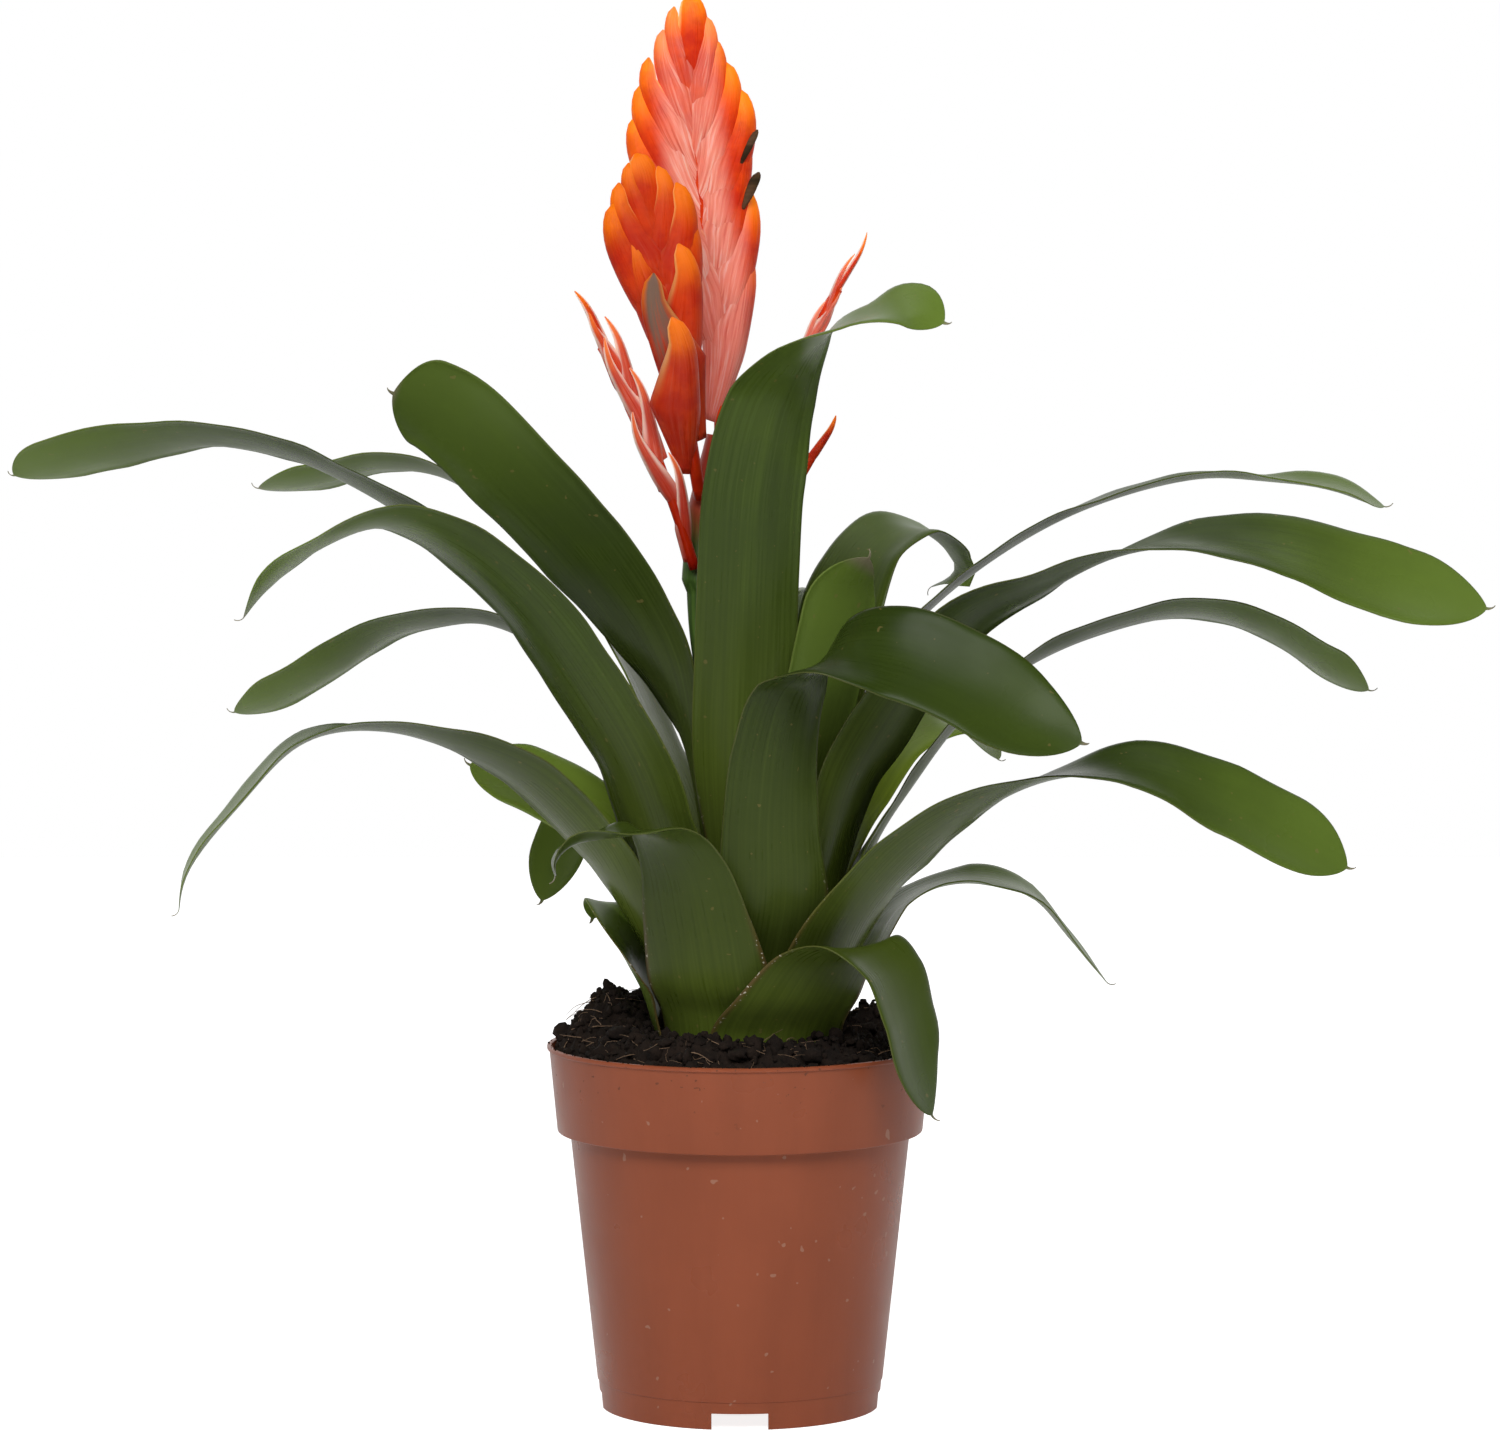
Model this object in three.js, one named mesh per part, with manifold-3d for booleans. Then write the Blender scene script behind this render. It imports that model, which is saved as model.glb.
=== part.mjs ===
// Potted orange vriesea in a round nursery pot, with two-ranked bract spikes. Millimetres, +Z up.
// The origin is on the ground under the centre of the pot; the viewer stands on the -Y side.
import * as THREE from 'three';
import { mergeVertices } from 'three/addons/utils/BufferGeometryUtils.js';
import Module from 'manifold-3d';

const wasm = await Module();
wasm.setup();

// Pot
const POT_HEIGHT = 113.2;
const RIM_RADIUS = 60;
const COLLAR_FOOT_Z = 86.3;
const COLLAR_FOOT_RADIUS = 56.8;
const BODY_TOP_RADIUS = 52.9;
const PARTING_RADIUS = 44.5;
const PARTING_Z = 8.6;
const PARTING_STEP = 0.3;
const FOOT_RADIUS = 43.4;
const WALL = 1.6;
const SHOULDER_STEP = 0.01;
const LIP_HEIGHT = 1.3;
const LIP_STEP = 0.35;
const FLOOR_Z = 5.6;
const FLOOR_THICKNESS = 1.8;
const POT_SIDES = 40;
const NOTCH_WIDTH = 17.3;
const NOTCH_HEIGHT = 5.1;
const NOTCH_COUNT = 4;
const NOTCH_DEPTH = 12;
const DRAIN_RADIUS = 4.5;
const DRAIN_CIRCLE = 30;
const DRAIN_COUNT = 4;
const DRAIN_SIDES = 12;

// Soil
const SOIL_GAP = 0.35;
const SOIL_WALL_Z = 110;
const SOIL_PLANT_Z = 116.5;
const SOIL_HOLE_RADIUS = 32;
const SOIL_HOLE_FLOOR_Z = 99;
const SOIL_HOLE_HEIGHT = 60;
const SOIL_HOLE_LAP = 1;
const SOIL_MOUND_DEPTH = 2;
const SOIL_SIDES = 40;
const SOIL_RINGS = 4;
const SOIL_CLUMP = 1.6;
const SOIL_HEAPS = [
  { turn: 165, radius: 43, height: 12, spread: 15 },
  { turn: 125, radius: 40, height: 7, spread: 14 },
  { turn: 15, radius: 44, height: 8, spread: 10 },
  { turn: 250, radius: 44, height: 2.5, spread: 12 },
];

// Middle of the plant, to the right of the pot's
const PLANT_X = 3;

// Rosette: the leaf bases stand in close rings on a low cone, the outermost leaf first.
const RING_OUTER_RADIUS = 28;
const RING_STEP = 0.8;
const RING_FOOT_Z = 107;
const RING_RISE = 1.35;
const RING_LEAN_OUTER = 15;
const RING_LEAN_INNER = 5;
const RING_HEIGHT = 14;
const CONE_GAP = 0.4;
const CONE_INSET = 0.4;
const CONE_FOOT_Z = SOIL_HOLE_FLOOR_Z + 0.35;
const CONE_FOOT_INSET = 2;
const CONE_SIDES = 20;

// Leaf blade
const LEAF_WIDTH = 32;
const LEAF_THICKNESS = 0.75;
const LEAF_ROWS = 15;
const LEAF_COLUMNS = 6;
const LEAF_SAMPLES = 400;
const CHANNEL_RADIUS = 55;
const SHEATH_WRAP = 53;
const SHEATH_WIDTH = 50;
const SHEATH_FADE = 75;
const TIP_LENGTH = 17;
const TIP_POINT = 2;
const TIP_ROUND = 1.8;
const TIP_TAPER = 0.7;
const TIP_ROWS = [0, 1.6, 4, 9];

const rad = THREE.MathUtils.degToRad;
const lerp = THREE.MathUtils.lerp;
const clamp = THREE.MathUtils.clamp;
const smooth = (x) => THREE.MathUtils.smoothstep(x, 0, 1);
const UP = new THREE.Vector3(0, 0, 1);

// Every leaf, outermost first. base is the bearing of its sheath. A path point is x, y, z of the
// middle of the blade, then its roll, then the bearing it faces where that isn't the path's own.
const LEAVES = [
  { name: 'leaf_front_low_right', base: 292, tip: 30, path: [[17, -37, 131, 0, 300],
    [26, -43, 145, 0, 310], [34, -48, 148, 0, 320], [42, -50, 141, 0, 328], [47, -50, 127, 0, 330],
    [50, -50, 113, 0, 330], [56, -48, 95, 0, 330]] },
  { name: 'leaf_back_low_left', base: 166, wrap: 38, width: 20, path: [[-37, -2, 139, 0],
    [-42, 3, 151, 6], [-45, 11, 156, 12], [-48, 15, 154, 12], [-50, 16, 148, 8]] },
  { name: 'leaf_right_low_thin', base: 38, tip: 40, path: [[38, 16, 142, 0], [45, 22, 152, -12],
    [57, 27, 159, -6], [73, 31, 161, 8], [89, 34, 156, 10], [101, 35, 143, 12], [115, 36, 126, 15]] },
  { name: 'leaf_front_low_left', base: 246, path: [[-14, -34, 135, 0, 248], [-17, -42, 155, 0, 244],
    [-21, -51, 173, 0, 236], [-29, -57, 184, 0, 222], [-42, -61, 183, 5, 205], [-53, -63, 181, 15, 200],
    [-58, -63, 176, 10, 195], [-58, -62, 169, 0, 195]] },
  { name: 'leaf_back_low', base: 100, wrap: 46, path: [[-4, 36, 142, 0], [-6, 52, 159, 0],
    [-6, 66, 167, 0], [-7, 78, 160, 0], [-8, 83, 141, 0]] },
  { name: 'leaf_right_low', base: 332, tip: 22, path: [[31, -26, 153, -28], [47, -32, 174, -30],
    [64, -35, 187, -20], [89, -38, 198, -4], [116, -40, 202, 22], [144, -42, 192, 36],
    [163, -43, 182, 38], [183, -44, 171, 40]] },
  { name: 'leaf_left_low_thin', base: 196, tip: 42, wrap: 42, path: [[-34, -14, 150, 10, 190],
    [-46, -21, 174, 25, 190], [-67, -26, 197, 25, 188], [-84, -29, 206, 18, 187],
    [-111, -31, 213, 8, 186], [-135, -33, 210, -2, 184], [-155, -35, 191, -4, 182],
    [-171, -36, 170, -4, 182], [-174, -36, 156, 0, 182]] },
  { name: 'leaf_right_middle', base: 8, path: [[38, 3, 173, -5], [51, 4, 194, -5], [67, 4, 215, -5],
    [87, 4, 231, -8], [112, 4, 242, -12], [138, 3, 247, -14], [161, 2, 241, -16], [181, 1, 229, -20],
    [194, 0, 222, -20]] },
  { name: 'leaf_left_low_drooping', base: 126, wrap: 38, width: 21, path: [[-27, 31, 158, 0],
    [-38, 50, 180, 4], [-47, 61, 190, 6], [-56, 68, 180, 10], [-63, 71, 163, 12], [-68, 72, 148, 10]] },
  { name: 'leaf_front_middle', base: 276, tip: 30, path: [[7, -40, 162, 0, 285], [7, -45, 187, 0, 296],
    [9, -48, 211, 0, 306], [14, -52, 227, 5, 308], [26, -59, 238, 35, 318], [44, -64, 238, 56, 340],
    [63, -67, 231, 58, 350], [83, -69, 219, 58, 350], [101, -71, 211, 58, 350]] },
  { name: 'leaf_back_middle', base: 72, wrap: 46, path: [[6, 40, 170, 0], [8, 57, 191, 0],
    [10, 70, 199, 0], [11, 79, 192, 0], [12, 83, 171, 0]] },
  { name: 'leaf_right_wide', base: 332, tip: 24, path: [[31, -19, 194, -30], [41, -21, 213, -36],
    [54, -24, 232, -33], [69, -27, 247, -26], [88, -31, 256, -16], [111, -34, 266, -2],
    [136, -37, 271, 16], [163, -39, 268, 34], [193, -41, 258, 42], [225, -42, 250, 40]] },
  { name: 'leaf_left_light', base: 165, wrap: 40, path: [[-34, 18, 161, -16], [-46, 27, 177, -26],
    [-61, 32, 188, -30], [-76, 34, 194, -30], [-91, 35, 198, -28]] },
  { name: 'leaf_right_light', base: 62, wrap: 38, width: 24, path: [[23, 27, 168, 5], [34, 40, 187, 20],
    [47, 53, 204, 22], [62, 64, 209, 18], [74, 73, 203, 12], [82, 78, 194, 8]] },
  { name: 'leaf_left_front', base: 224, tip: 24, path: [[-27, -31, 176, 13, 215],
    [-36, -41, 203, 18, 210], [-52, -50, 231, 24, 205], [-69, -57, 254, 27], [-88, -61, 270, 22],
    [-108, -64, 277, 14], [-128, -66, 270, 14], [-143, -67, 259, 20], [-152, -67, 247, 16]] },
  { name: 'leaf_right_thin', base: 20, path: [[33, 16, 210, -4], [45, 22, 234, -8], [60, 27, 250, -10],
    [85, 31, 268, -9], [110, 34, 280, -4], [142, 36, 288, -2], [165, 37, 287, 1], [183, 38, 285, 10],
    [203, 39, 278, 16]] },
  { name: 'leaf_left_middle', base: 152, path: [[-34, 24, 187, 0], [-50, 32, 216, 10],
    [-66, 38, 234, 14], [-84, 43, 242, 12], [-98, 46, 242, 12], [-116, 48, 238, 13],
    [-134, 50, 227, 16], [-155, 52, 216, 18], [-167, 53, 212, 18]] },
  { name: 'leaf_upright_right', base: 317, wrap: 42, width: 29, path: [[16, -11, 193, 0, 302],
    [20, -12, 212, 0, 302], [24, -13, 227, 0, 304], [27, -14, 243, 0, 306], [30, -15, 255, 0, 308],
    [38, -16, 267, 0, 312]] },
  { name: 'leaf_left_long', base: 205, path: [[-29, -23, 182, 15], [-46, -27, 211, 22],
    [-67, -28, 242, 24], [-90, -27, 268, 22], [-114, -24, 284, 16], [-140, -20, 296, 13],
    [-168, -14, 301, 16], [-197, -6, 297, 24], [-230, 4, 289, 24]] },
  { name: 'leaf_right_back', base: 56, tip: 26, wrap: 44, path: [[21, 16, 213, 0, 60],
    [28, 23, 241, 0, 55], [36, 34, 262, 0, 50], [49, 48, 272, 8, 45], [62, 60, 266, 20, 40],
    [67, 64, 258, 25, 40], [56, 66, 251, 20, 40]] },
  { name: 'leaf_left_back', base: 150, wrap: 46, path: [[-31, 28, 212, 0], [-50, 36, 246, 5],
    [-73, 42, 271, 8], [-97, 47, 288, 10], [-118, 50, 291, 12], [-140, 52, 286, 14],
    [-159, 53, 284, 14]] },
  { name: 'leaf_center_tall', base: 272, tip: 21, wrap: 46, path: [[-2, -15, 203, 0, 274],
    [-1, -18, 237, 0, 276], [0, -21, 264, 0, 278], [2, -25, 289, 0, 282], [8, -30, 314, 8, 290],
    [20, -39, 331, 26, 305], [34, -44, 338, 20, 322], [48, -47, 341, 27, 335],
    [60.5, -49, 335.5, 46, 340]] },
  { name: 'leaf_back_tall', base: 70, wrap: 40, width: 25, path: [[-1, 8, 213, 0], [1, 16, 238, 0],
    [3, 30, 250, 0], [8, 52, 251, 0], [13, 74, 240, 0]] },
  { name: 'leaf_left_upper', base: 176, tip: 11, wrap: 44, path: [[-22, 6, 214, 10], [-32, 4, 238, 38],
    [-52, 0, 266, 56], [-74, -4, 290, 62], [-94, -6, 309, 62], [-112, -8, 316, 56]] },
];

// Flower stalk: middle line, then its radius along it, with a step at each clasping stem bract
const STALK_PATH = [[0, 0, 138.2], [-6, 3, 190], [-14.5, 4, 245], [-15, 4, 270], [-10, 4, 302]];
const STALK_GIRTH = [[0, 4], [0.35, 4], [0.4, 4.8], [0.58, 4.4], [0.62, 5.8], [0.78, 4.6], [0.82, 5.2],
  [1, 3.4]];
const STALK_SIDES = 12;

// Bracts: sizes are shares of each bract's own length. The flanks reach furthest in between the
// foot and FLANK_FULL, and are as narrow as the keel side from FLANK_END on.
const BRACT_CROWD = 0.8;
const BRACT_ROWS = 5;
const BRACT_STEPS = 4;
const BRACT_CLASP = 0.04;
const BRACT_TIP_ANGLE = 4;
const BRACT_CURL = 20;
const CURL_START = 0.7;
const BRACT_POINT = 0.3;
const FLANK_FOOT = 0.7;
const FLANK_RISE = 4.5;
const FLANK_FULL = 0.4;
const FLANK_END = 0.85;
const APEX_SPLAY = 6;
const BRACT_SECTION = [[1, 0], [-0.55, -1], [-1, 0], [-0.55, 1]];

// Flower spikes. turn is the bearing of the flat of the spike; start and end are where along the
// axis the first and the last bract stand. Lengths and splays go foot, middle, top.
const SPIKES = [
  { name: 'spike_main', path: [[-9, 4, 302.5], [-9.5, 4, 330], [-14, 4, 362], [-17, 4, 392], [-18, 4, 426]],
    turn: 0, count: 17, start: 0.03, end: 0.8, lengths: [58, 52, 36.7], splays: [18, 45, 14], apex: 1.9,
    breadth: 0.068, wrap: 3.8, taper: 9, depth: 0.08, stem: 2, colour: 0xe0503c },
  { name: 'spike_front_left', path: [[-15.3, -2.5, 283], [-18, -12, 300], [-23, -15, 330], [-33, -15, 380]],
    turn: 5, count: 11, start: 0.1, end: 0.73, lengths: [56, 52, 36], splays: [8, 32, 12], apex: 1.8,
    breadth: 0.075, wrap: 3, taper: 9, depth: 0.08, stem: 2, colour: 0xdd5a1c },
  { name: 'spike_small_left', path: [[-17, -2.9, 261.2], [-24, -9, 283], [-36, -12, 313], [-52, -13, 341]],
    turn: 10, count: 7, start: 0.03, end: 0.68, lengths: [36, 42, 34], splays: [16, 11, 8], apex: 1.2,
    breadth: 0.055, wrap: 2, taper: 1.6, depth: 0.055, stem: 1.7, rows: 3, colour: 0xc74a34 },
  { name: 'spike_right_back', path: [[-10.5, 8.9, 268], [-1, 16, 290], [18, 22, 329], [35, 27, 361]],
    turn: 10, count: 7, start: 0.15, end: 0.74, lengths: [34, 34, 32], splays: [9, 10, 6], apex: 1,
    breadth: 0.04, wrap: 2, taper: 1.6, depth: 0.05, stem: 1.5, rows: 3, colour: 0xcf4a3c },
  { name: 'spike_small_right', path: [[-9.3, 7.2, 245.2], [3, 12, 266], [15, 14, 287], [27, 15.5, 308]],
    turn: 10, count: 3, start: 0.3, end: 0.7, lengths: [24, 24, 22], splays: [6, 8, 6], apex: 1.5,
    breadth: 0.05, wrap: 1.5, taper: 1.6, depth: 0.06, stem: 1.2, rows: 3, colour: 0xc9482a },
];

function closedMesh(name, geometry, material) {
  const plain = geometry.clone();
  plain.deleteAttribute('normal');
  plain.deleteAttribute('uv');
  const welded = mergeVertices(plain, 1e-4);
  welded.computeVertexNormals();
  const mesh = new THREE.Mesh(welded, material);
  mesh.name = name;
  return mesh;
}

function solidOf(geometry) {
  const plain = geometry.clone();
  plain.deleteAttribute('normal');
  plain.deleteAttribute('uv');
  const welded = mergeVertices(plain, 1e-4);
  return new wasm.Manifold(new wasm.Mesh({
    numProp: 3,
    vertProperties: Float32Array.from(welded.attributes.position.array),
    triVerts: Uint32Array.from(welded.index.array),
  }));
}

function geometryOf(solid) {
  const mesh = solid.getMesh();
  const geometry = new THREE.BufferGeometry();
  geometry.setAttribute('position', new THREE.BufferAttribute(Float32Array.from(mesh.vertProperties), 3));
  geometry.setIndex(new THREE.BufferAttribute(Uint32Array.from(mesh.triVerts), 1));
  return geometry;
}

function fuse(geometries) {
  let whole = solidOf(geometries[0]);
  for (const next of geometries.slice(1)) {
    whole = whole.add(solidOf(next));
  }
  return geometryOf(whole);
}

// A profile of [radius, z] pairs spun about the pot's axis
function spin(profile, sides) {
  const points = profile.map(([r, z]) => new THREE.Vector2(r, z));
  const turned = new THREE.LatheGeometry(points, sides);
  turned.rotateX(Math.PI / 2);
  return turned;
}

function paint(colour, roughness) {
  return new THREE.MeshStandardMaterial({ color: colour, roughness, metalness: 0 });
}

// Radius of the inside of the pot at a height
function potInside(z) {
  if (z > COLLAR_FOOT_Z + WALL) {
    const up = (z - COLLAR_FOOT_Z) / (POT_HEIGHT - COLLAR_FOOT_Z);
    return lerp(COLLAR_FOOT_RADIUS, RIM_RADIUS, up) - WALL;
  }
  const up = (z - PARTING_Z) / (COLLAR_FOOT_Z - PARTING_Z);
  return lerp(PARTING_RADIUS, BODY_TOP_RADIUS, up) - WALL;
}

function makePot() {
  const shoulder = COLLAR_FOOT_Z + WALL;
  const lipFoot = POT_HEIGHT - LIP_HEIGHT;
  const floorTop = FLOOR_Z + FLOOR_THICKNESS;
  const profile = [
    [0, FLOOR_Z],
    [FOOT_RADIUS - WALL, FLOOR_Z],
    [FOOT_RADIUS - WALL, 0],
    [FOOT_RADIUS, 0],
    [PARTING_RADIUS - PARTING_STEP, PARTING_Z],
    [PARTING_RADIUS, PARTING_Z],
    [BODY_TOP_RADIUS, COLLAR_FOOT_Z],
    [COLLAR_FOOT_RADIUS, COLLAR_FOOT_Z],
    [RIM_RADIUS - 2 * LIP_STEP, lipFoot],
    [RIM_RADIUS, lipFoot],
    [RIM_RADIUS, POT_HEIGHT],
    [RIM_RADIUS - WALL, POT_HEIGHT],
    [potInside(shoulder + SHOULDER_STEP), shoulder + SHOULDER_STEP],
    [potInside(shoulder), shoulder],
    [potInside(floorTop), floorTop],
    [0, floorTop],
  ];
  let pot = solidOf(spin(profile, POT_SIDES));
  for (let i = 0; i < NOTCH_COUNT; i++) {
    const bearing = rad(270 + i * 360 / NOTCH_COUNT);
    const notch = new THREE.BoxGeometry(NOTCH_DEPTH, NOTCH_WIDTH, 2 * NOTCH_HEIGHT);
    notch.translate(FOOT_RADIUS, 0, 0);
    notch.rotateZ(bearing);
    pot = pot.subtract(solidOf(notch));
  }
  for (let i = 0; i < DRAIN_COUNT; i++) {
    const hole = new THREE.CylinderGeometry(DRAIN_RADIUS, DRAIN_RADIUS, 4 * FLOOR_THICKNESS, DRAIN_SIDES);
    hole.rotateX(Math.PI / 2);
    hole.translate(DRAIN_CIRCLE, 0, FLOOR_Z);
    hole.rotateZ(rad(45 + i * 360 / DRAIN_COUNT));
    pot = pot.subtract(solidOf(hole));
  }
  return closedMesh('pot', geometryOf(pot), paint(0x8c4830, 0.45));
}

// Height of the soil: a slope up to the plant, heaps and small clumps
function soilHeight(x, y) {
  const radius = Math.hypot(x, y);
  const inward = (potInside(SOIL_WALL_Z) - radius) / (potInside(SOIL_WALL_Z) - SOIL_HOLE_RADIUS);
  let z = lerp(SOIL_WALL_Z, SOIL_PLANT_Z, smooth(inward * 1.4));
  for (const heap of SOIL_HEAPS) {
    const dx = x - heap.radius * Math.cos(rad(heap.turn));
    const dy = y - heap.radius * Math.sin(rad(heap.turn));
    z += heap.height * Math.exp(-(dx * dx + dy * dy) / (heap.spread * heap.spread));
  }
  const rough = Math.sin(0.9 * x + 0.4 * y) * Math.sin(0.7 * y - 0.5 * x) + 0.5 * Math.sin(1.9 * x - 1.3 * y);
  return z + SOIL_CLUMP * rough * smooth(inward * 3);
}

function makeSoil() {
  const foot = FLOOR_Z + FLOOR_THICKNESS + SOIL_GAP;
  const shoulder = COLLAR_FOOT_Z + WALL;
  const block = solidOf(spin([
    [0, foot],
    [potInside(foot) - SOIL_GAP, foot],
    [potInside(shoulder) - SOIL_GAP, shoulder + SOIL_GAP],
    [potInside(shoulder + SHOULDER_STEP) - SOIL_GAP, shoulder + SOIL_GAP],
    [potInside(SOIL_WALL_Z) - SOIL_GAP, SOIL_WALL_Z],
    [0, SOIL_WALL_Z],
  ], SOIL_SIDES));
  const hole = new THREE.CylinderGeometry(SOIL_HOLE_RADIUS, SOIL_HOLE_RADIUS, SOIL_HOLE_HEIGHT, SOIL_SIDES);
  hole.rotateX(Math.PI / 2);
  hole.translate(PLANT_X, 0, SOIL_HOLE_FLOOR_Z + SOIL_HOLE_HEIGHT / 2);
  const soil = block.add(solidOf(soilMound())).subtract(solidOf(hole));
  return closedMesh('soil', geometryOf(soil), paint(0x2b1d15, 0.95));
}

// The rough ring of soil between the plant's hole and the wall, with a flat underside
function soilMound() {
  const outer = potInside(SOIL_WALL_Z) - 2 * SOIL_GAP;
  const inner = SOIL_HOLE_RADIUS - SOIL_HOLE_LAP;
  const top = [];
  const base = [];
  for (let j = 0; j <= SOIL_RINGS; j++) {
    for (let i = 0; i < SOIL_SIDES; i++) {
      const bearing = 2 * Math.PI * i / SOIL_SIDES;
      const x = lerp(PLANT_X + inner * Math.cos(bearing), outer * Math.cos(bearing), j / SOIL_RINGS);
      const y = lerp(inner * Math.sin(bearing), outer * Math.sin(bearing), j / SOIL_RINGS);
      top.push([x, y, j === SOIL_RINGS ? SOIL_WALL_Z + SOIL_GAP : soilHeight(x, y)]);
      base.push([x, y, SOIL_WALL_Z - SOIL_MOUND_DEPTH]);
    }
  }
  return slab(top, base, SOIL_RINGS + 1, SOIL_SIDES, true);
}

// Closes two matching grids of points, rows by columns, into one skin. wrap joins the columns up.
function slab(upper, lower, rows, columns, wrap = false) {
  const points = [...upper, ...lower].flat();
  const index = [];
  const shift = rows * columns;
  const last = wrap ? columns : columns - 1;
  const at = (r, c) => r * columns + (c % columns);
  const quad = (a, b, c, d) => index.push(a, b, c, a, c, d);
  for (let r = 0; r < rows - 1; r++) {
    for (let c = 0; c < last; c++) {
      quad(at(r, c), at(r + 1, c), at(r + 1, c + 1), at(r, c + 1));
      const low = [at(r, c), at(r + 1, c), at(r + 1, c + 1), at(r, c + 1)].map((i) => i + shift);
      index.push(low[0], low[2], low[1], low[0], low[3], low[2]);
    }
  }
  for (let c = 0; c < last; c++) {
    quad(at(0, c), at(0, c + 1), at(0, c + 1) + shift, at(0, c) + shift);
    const r = rows - 1;
    quad(at(r, c + 1), at(r, c), at(r, c) + shift, at(r, c + 1) + shift);
  }
  if (!wrap) {
    for (let r = 0; r < rows - 1; r++) {
      quad(at(r + 1, 0), at(r, 0), at(r, 0) + shift, at(r + 1, 0) + shift);
      const c = columns - 1;
      quad(at(r, c), at(r + 1, c), at(r + 1, c) + shift, at(r, c) + shift);
    }
  }
  const geometry = new THREE.BufferGeometry();
  geometry.setAttribute('position', new THREE.Float32BufferAttribute(points, 3));
  geometry.setIndex(index);
  return geometry;
}

const ringRadius = (order) => RING_OUTER_RADIUS - RING_STEP * order;
const ringFoot = (order) => RING_FOOT_Z + RING_RISE * order;

// The low cone that carries the leaf bases and the flower stalk
function makeCrown() {
  const lastOrder = LEAVES.length - 1;
  const coneTop = ringFoot(lastOrder) - CONE_GAP;
  const coneFoot = ringFoot(0) - CONE_GAP;
  const shape = spin([
    [0, CONE_FOOT_Z],
    [ringRadius(0) - CONE_FOOT_INSET, CONE_FOOT_Z],
    [ringRadius(0) - CONE_INSET, coneFoot],
    [ringRadius(lastOrder) - CONE_INSET, coneTop],
    [0, coneTop],
  ], CONE_SIDES);
  return closedMesh('crown', shape, paint(0x6f7a3a, 0.7));
}

// The middle line of a leaf, its sheath first, with the roll and the facing bearing along it
function leafLine(leaf, order) {
  const bearing = rad(leaf.base);
  const lean = Math.tan(rad(lerp(RING_LEAN_OUTER, RING_LEAN_INNER, order / (LEAVES.length - 1))));
  const sheath = [0, RING_HEIGHT].map((rise) => {
    const r = ringRadius(order) + rise * lean;
    return new THREE.Vector3(r * Math.cos(bearing), r * Math.sin(bearing), ringFoot(order) + rise);
  });
  const blade = leaf.path.map((p) => new THREE.Vector3(p[0], p[1], p[2]));
  const first = blade[0];
  const end = blade[blade.length - 1];
  const chord = THREE.MathUtils.radToDeg(Math.atan2(end.y - first.y, end.x - first.x));
  const own = leaf.base + THREE.MathUtils.euclideanModulo(chord - leaf.base + 180, 360) - 180;
  const marks = [[0, leaf.base], [0, leaf.base], ...leaf.path.map((p) => [p[3] ?? 0, p[4] ?? own])];
  const curve = new THREE.CatmullRomCurve3([...sheath, ...blade], false, 'centripetal');
  curve.arcLengthDivisions = LEAF_SAMPLES;
  return { curve, marks };
}

function leafWidth(leaf, fromFoot, fromTip, radius) {
  const width = leaf.width ?? LEAF_WIDTH;
  const wrap = 2 * radius * rad(leaf.wrap ?? SHEATH_WRAP);
  const foot = Math.min(SHEATH_WIDTH, wrap);
  const body = lerp(foot, width, smooth(fromFoot / SHEATH_FADE));
  const tip = leaf.tip ?? TIP_LENGTH;
  const round = clamp((fromTip - TIP_ROWS[1]) / tip, 0, 1);
  return Math.max(TIP_POINT, body * (1 - (1 - round) ** TIP_ROUND) ** TIP_TAPER);
}

// One leaf: rows of arcs, wrapped round the axis at the sheath and lightly channelled in the blade
function leafGeometry(leaf, order) {
  const { curve, marks } = leafLine(leaf, order);
  const lengths = curve.getLengths();
  const length = lengths[lengths.length - 1];
  const bodyRows = LEAF_ROWS - TIP_ROWS.length;
  const bodyEnd = curve.getUtoTmapping(1 - TIP_ROWS[TIP_ROWS.length - 1] / length);
  const distances = [];
  for (let i = 0; i < bodyRows; i++) {
    distances.push(lengths[Math.round(bodyEnd * i / bodyRows * (lengths.length - 1))]);
  }
  for (const d of [...TIP_ROWS].reverse()) {
    distances.push(length - d);
  }
  const rows = distances.map((s) => leafRow(leaf, curve, marks, s, length));
  const skin = thicken(rows, LEAF_THICKNESS);
  return slab(skin.upper, skin.lower, rows.length, LEAF_COLUMNS + 1);
}

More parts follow.
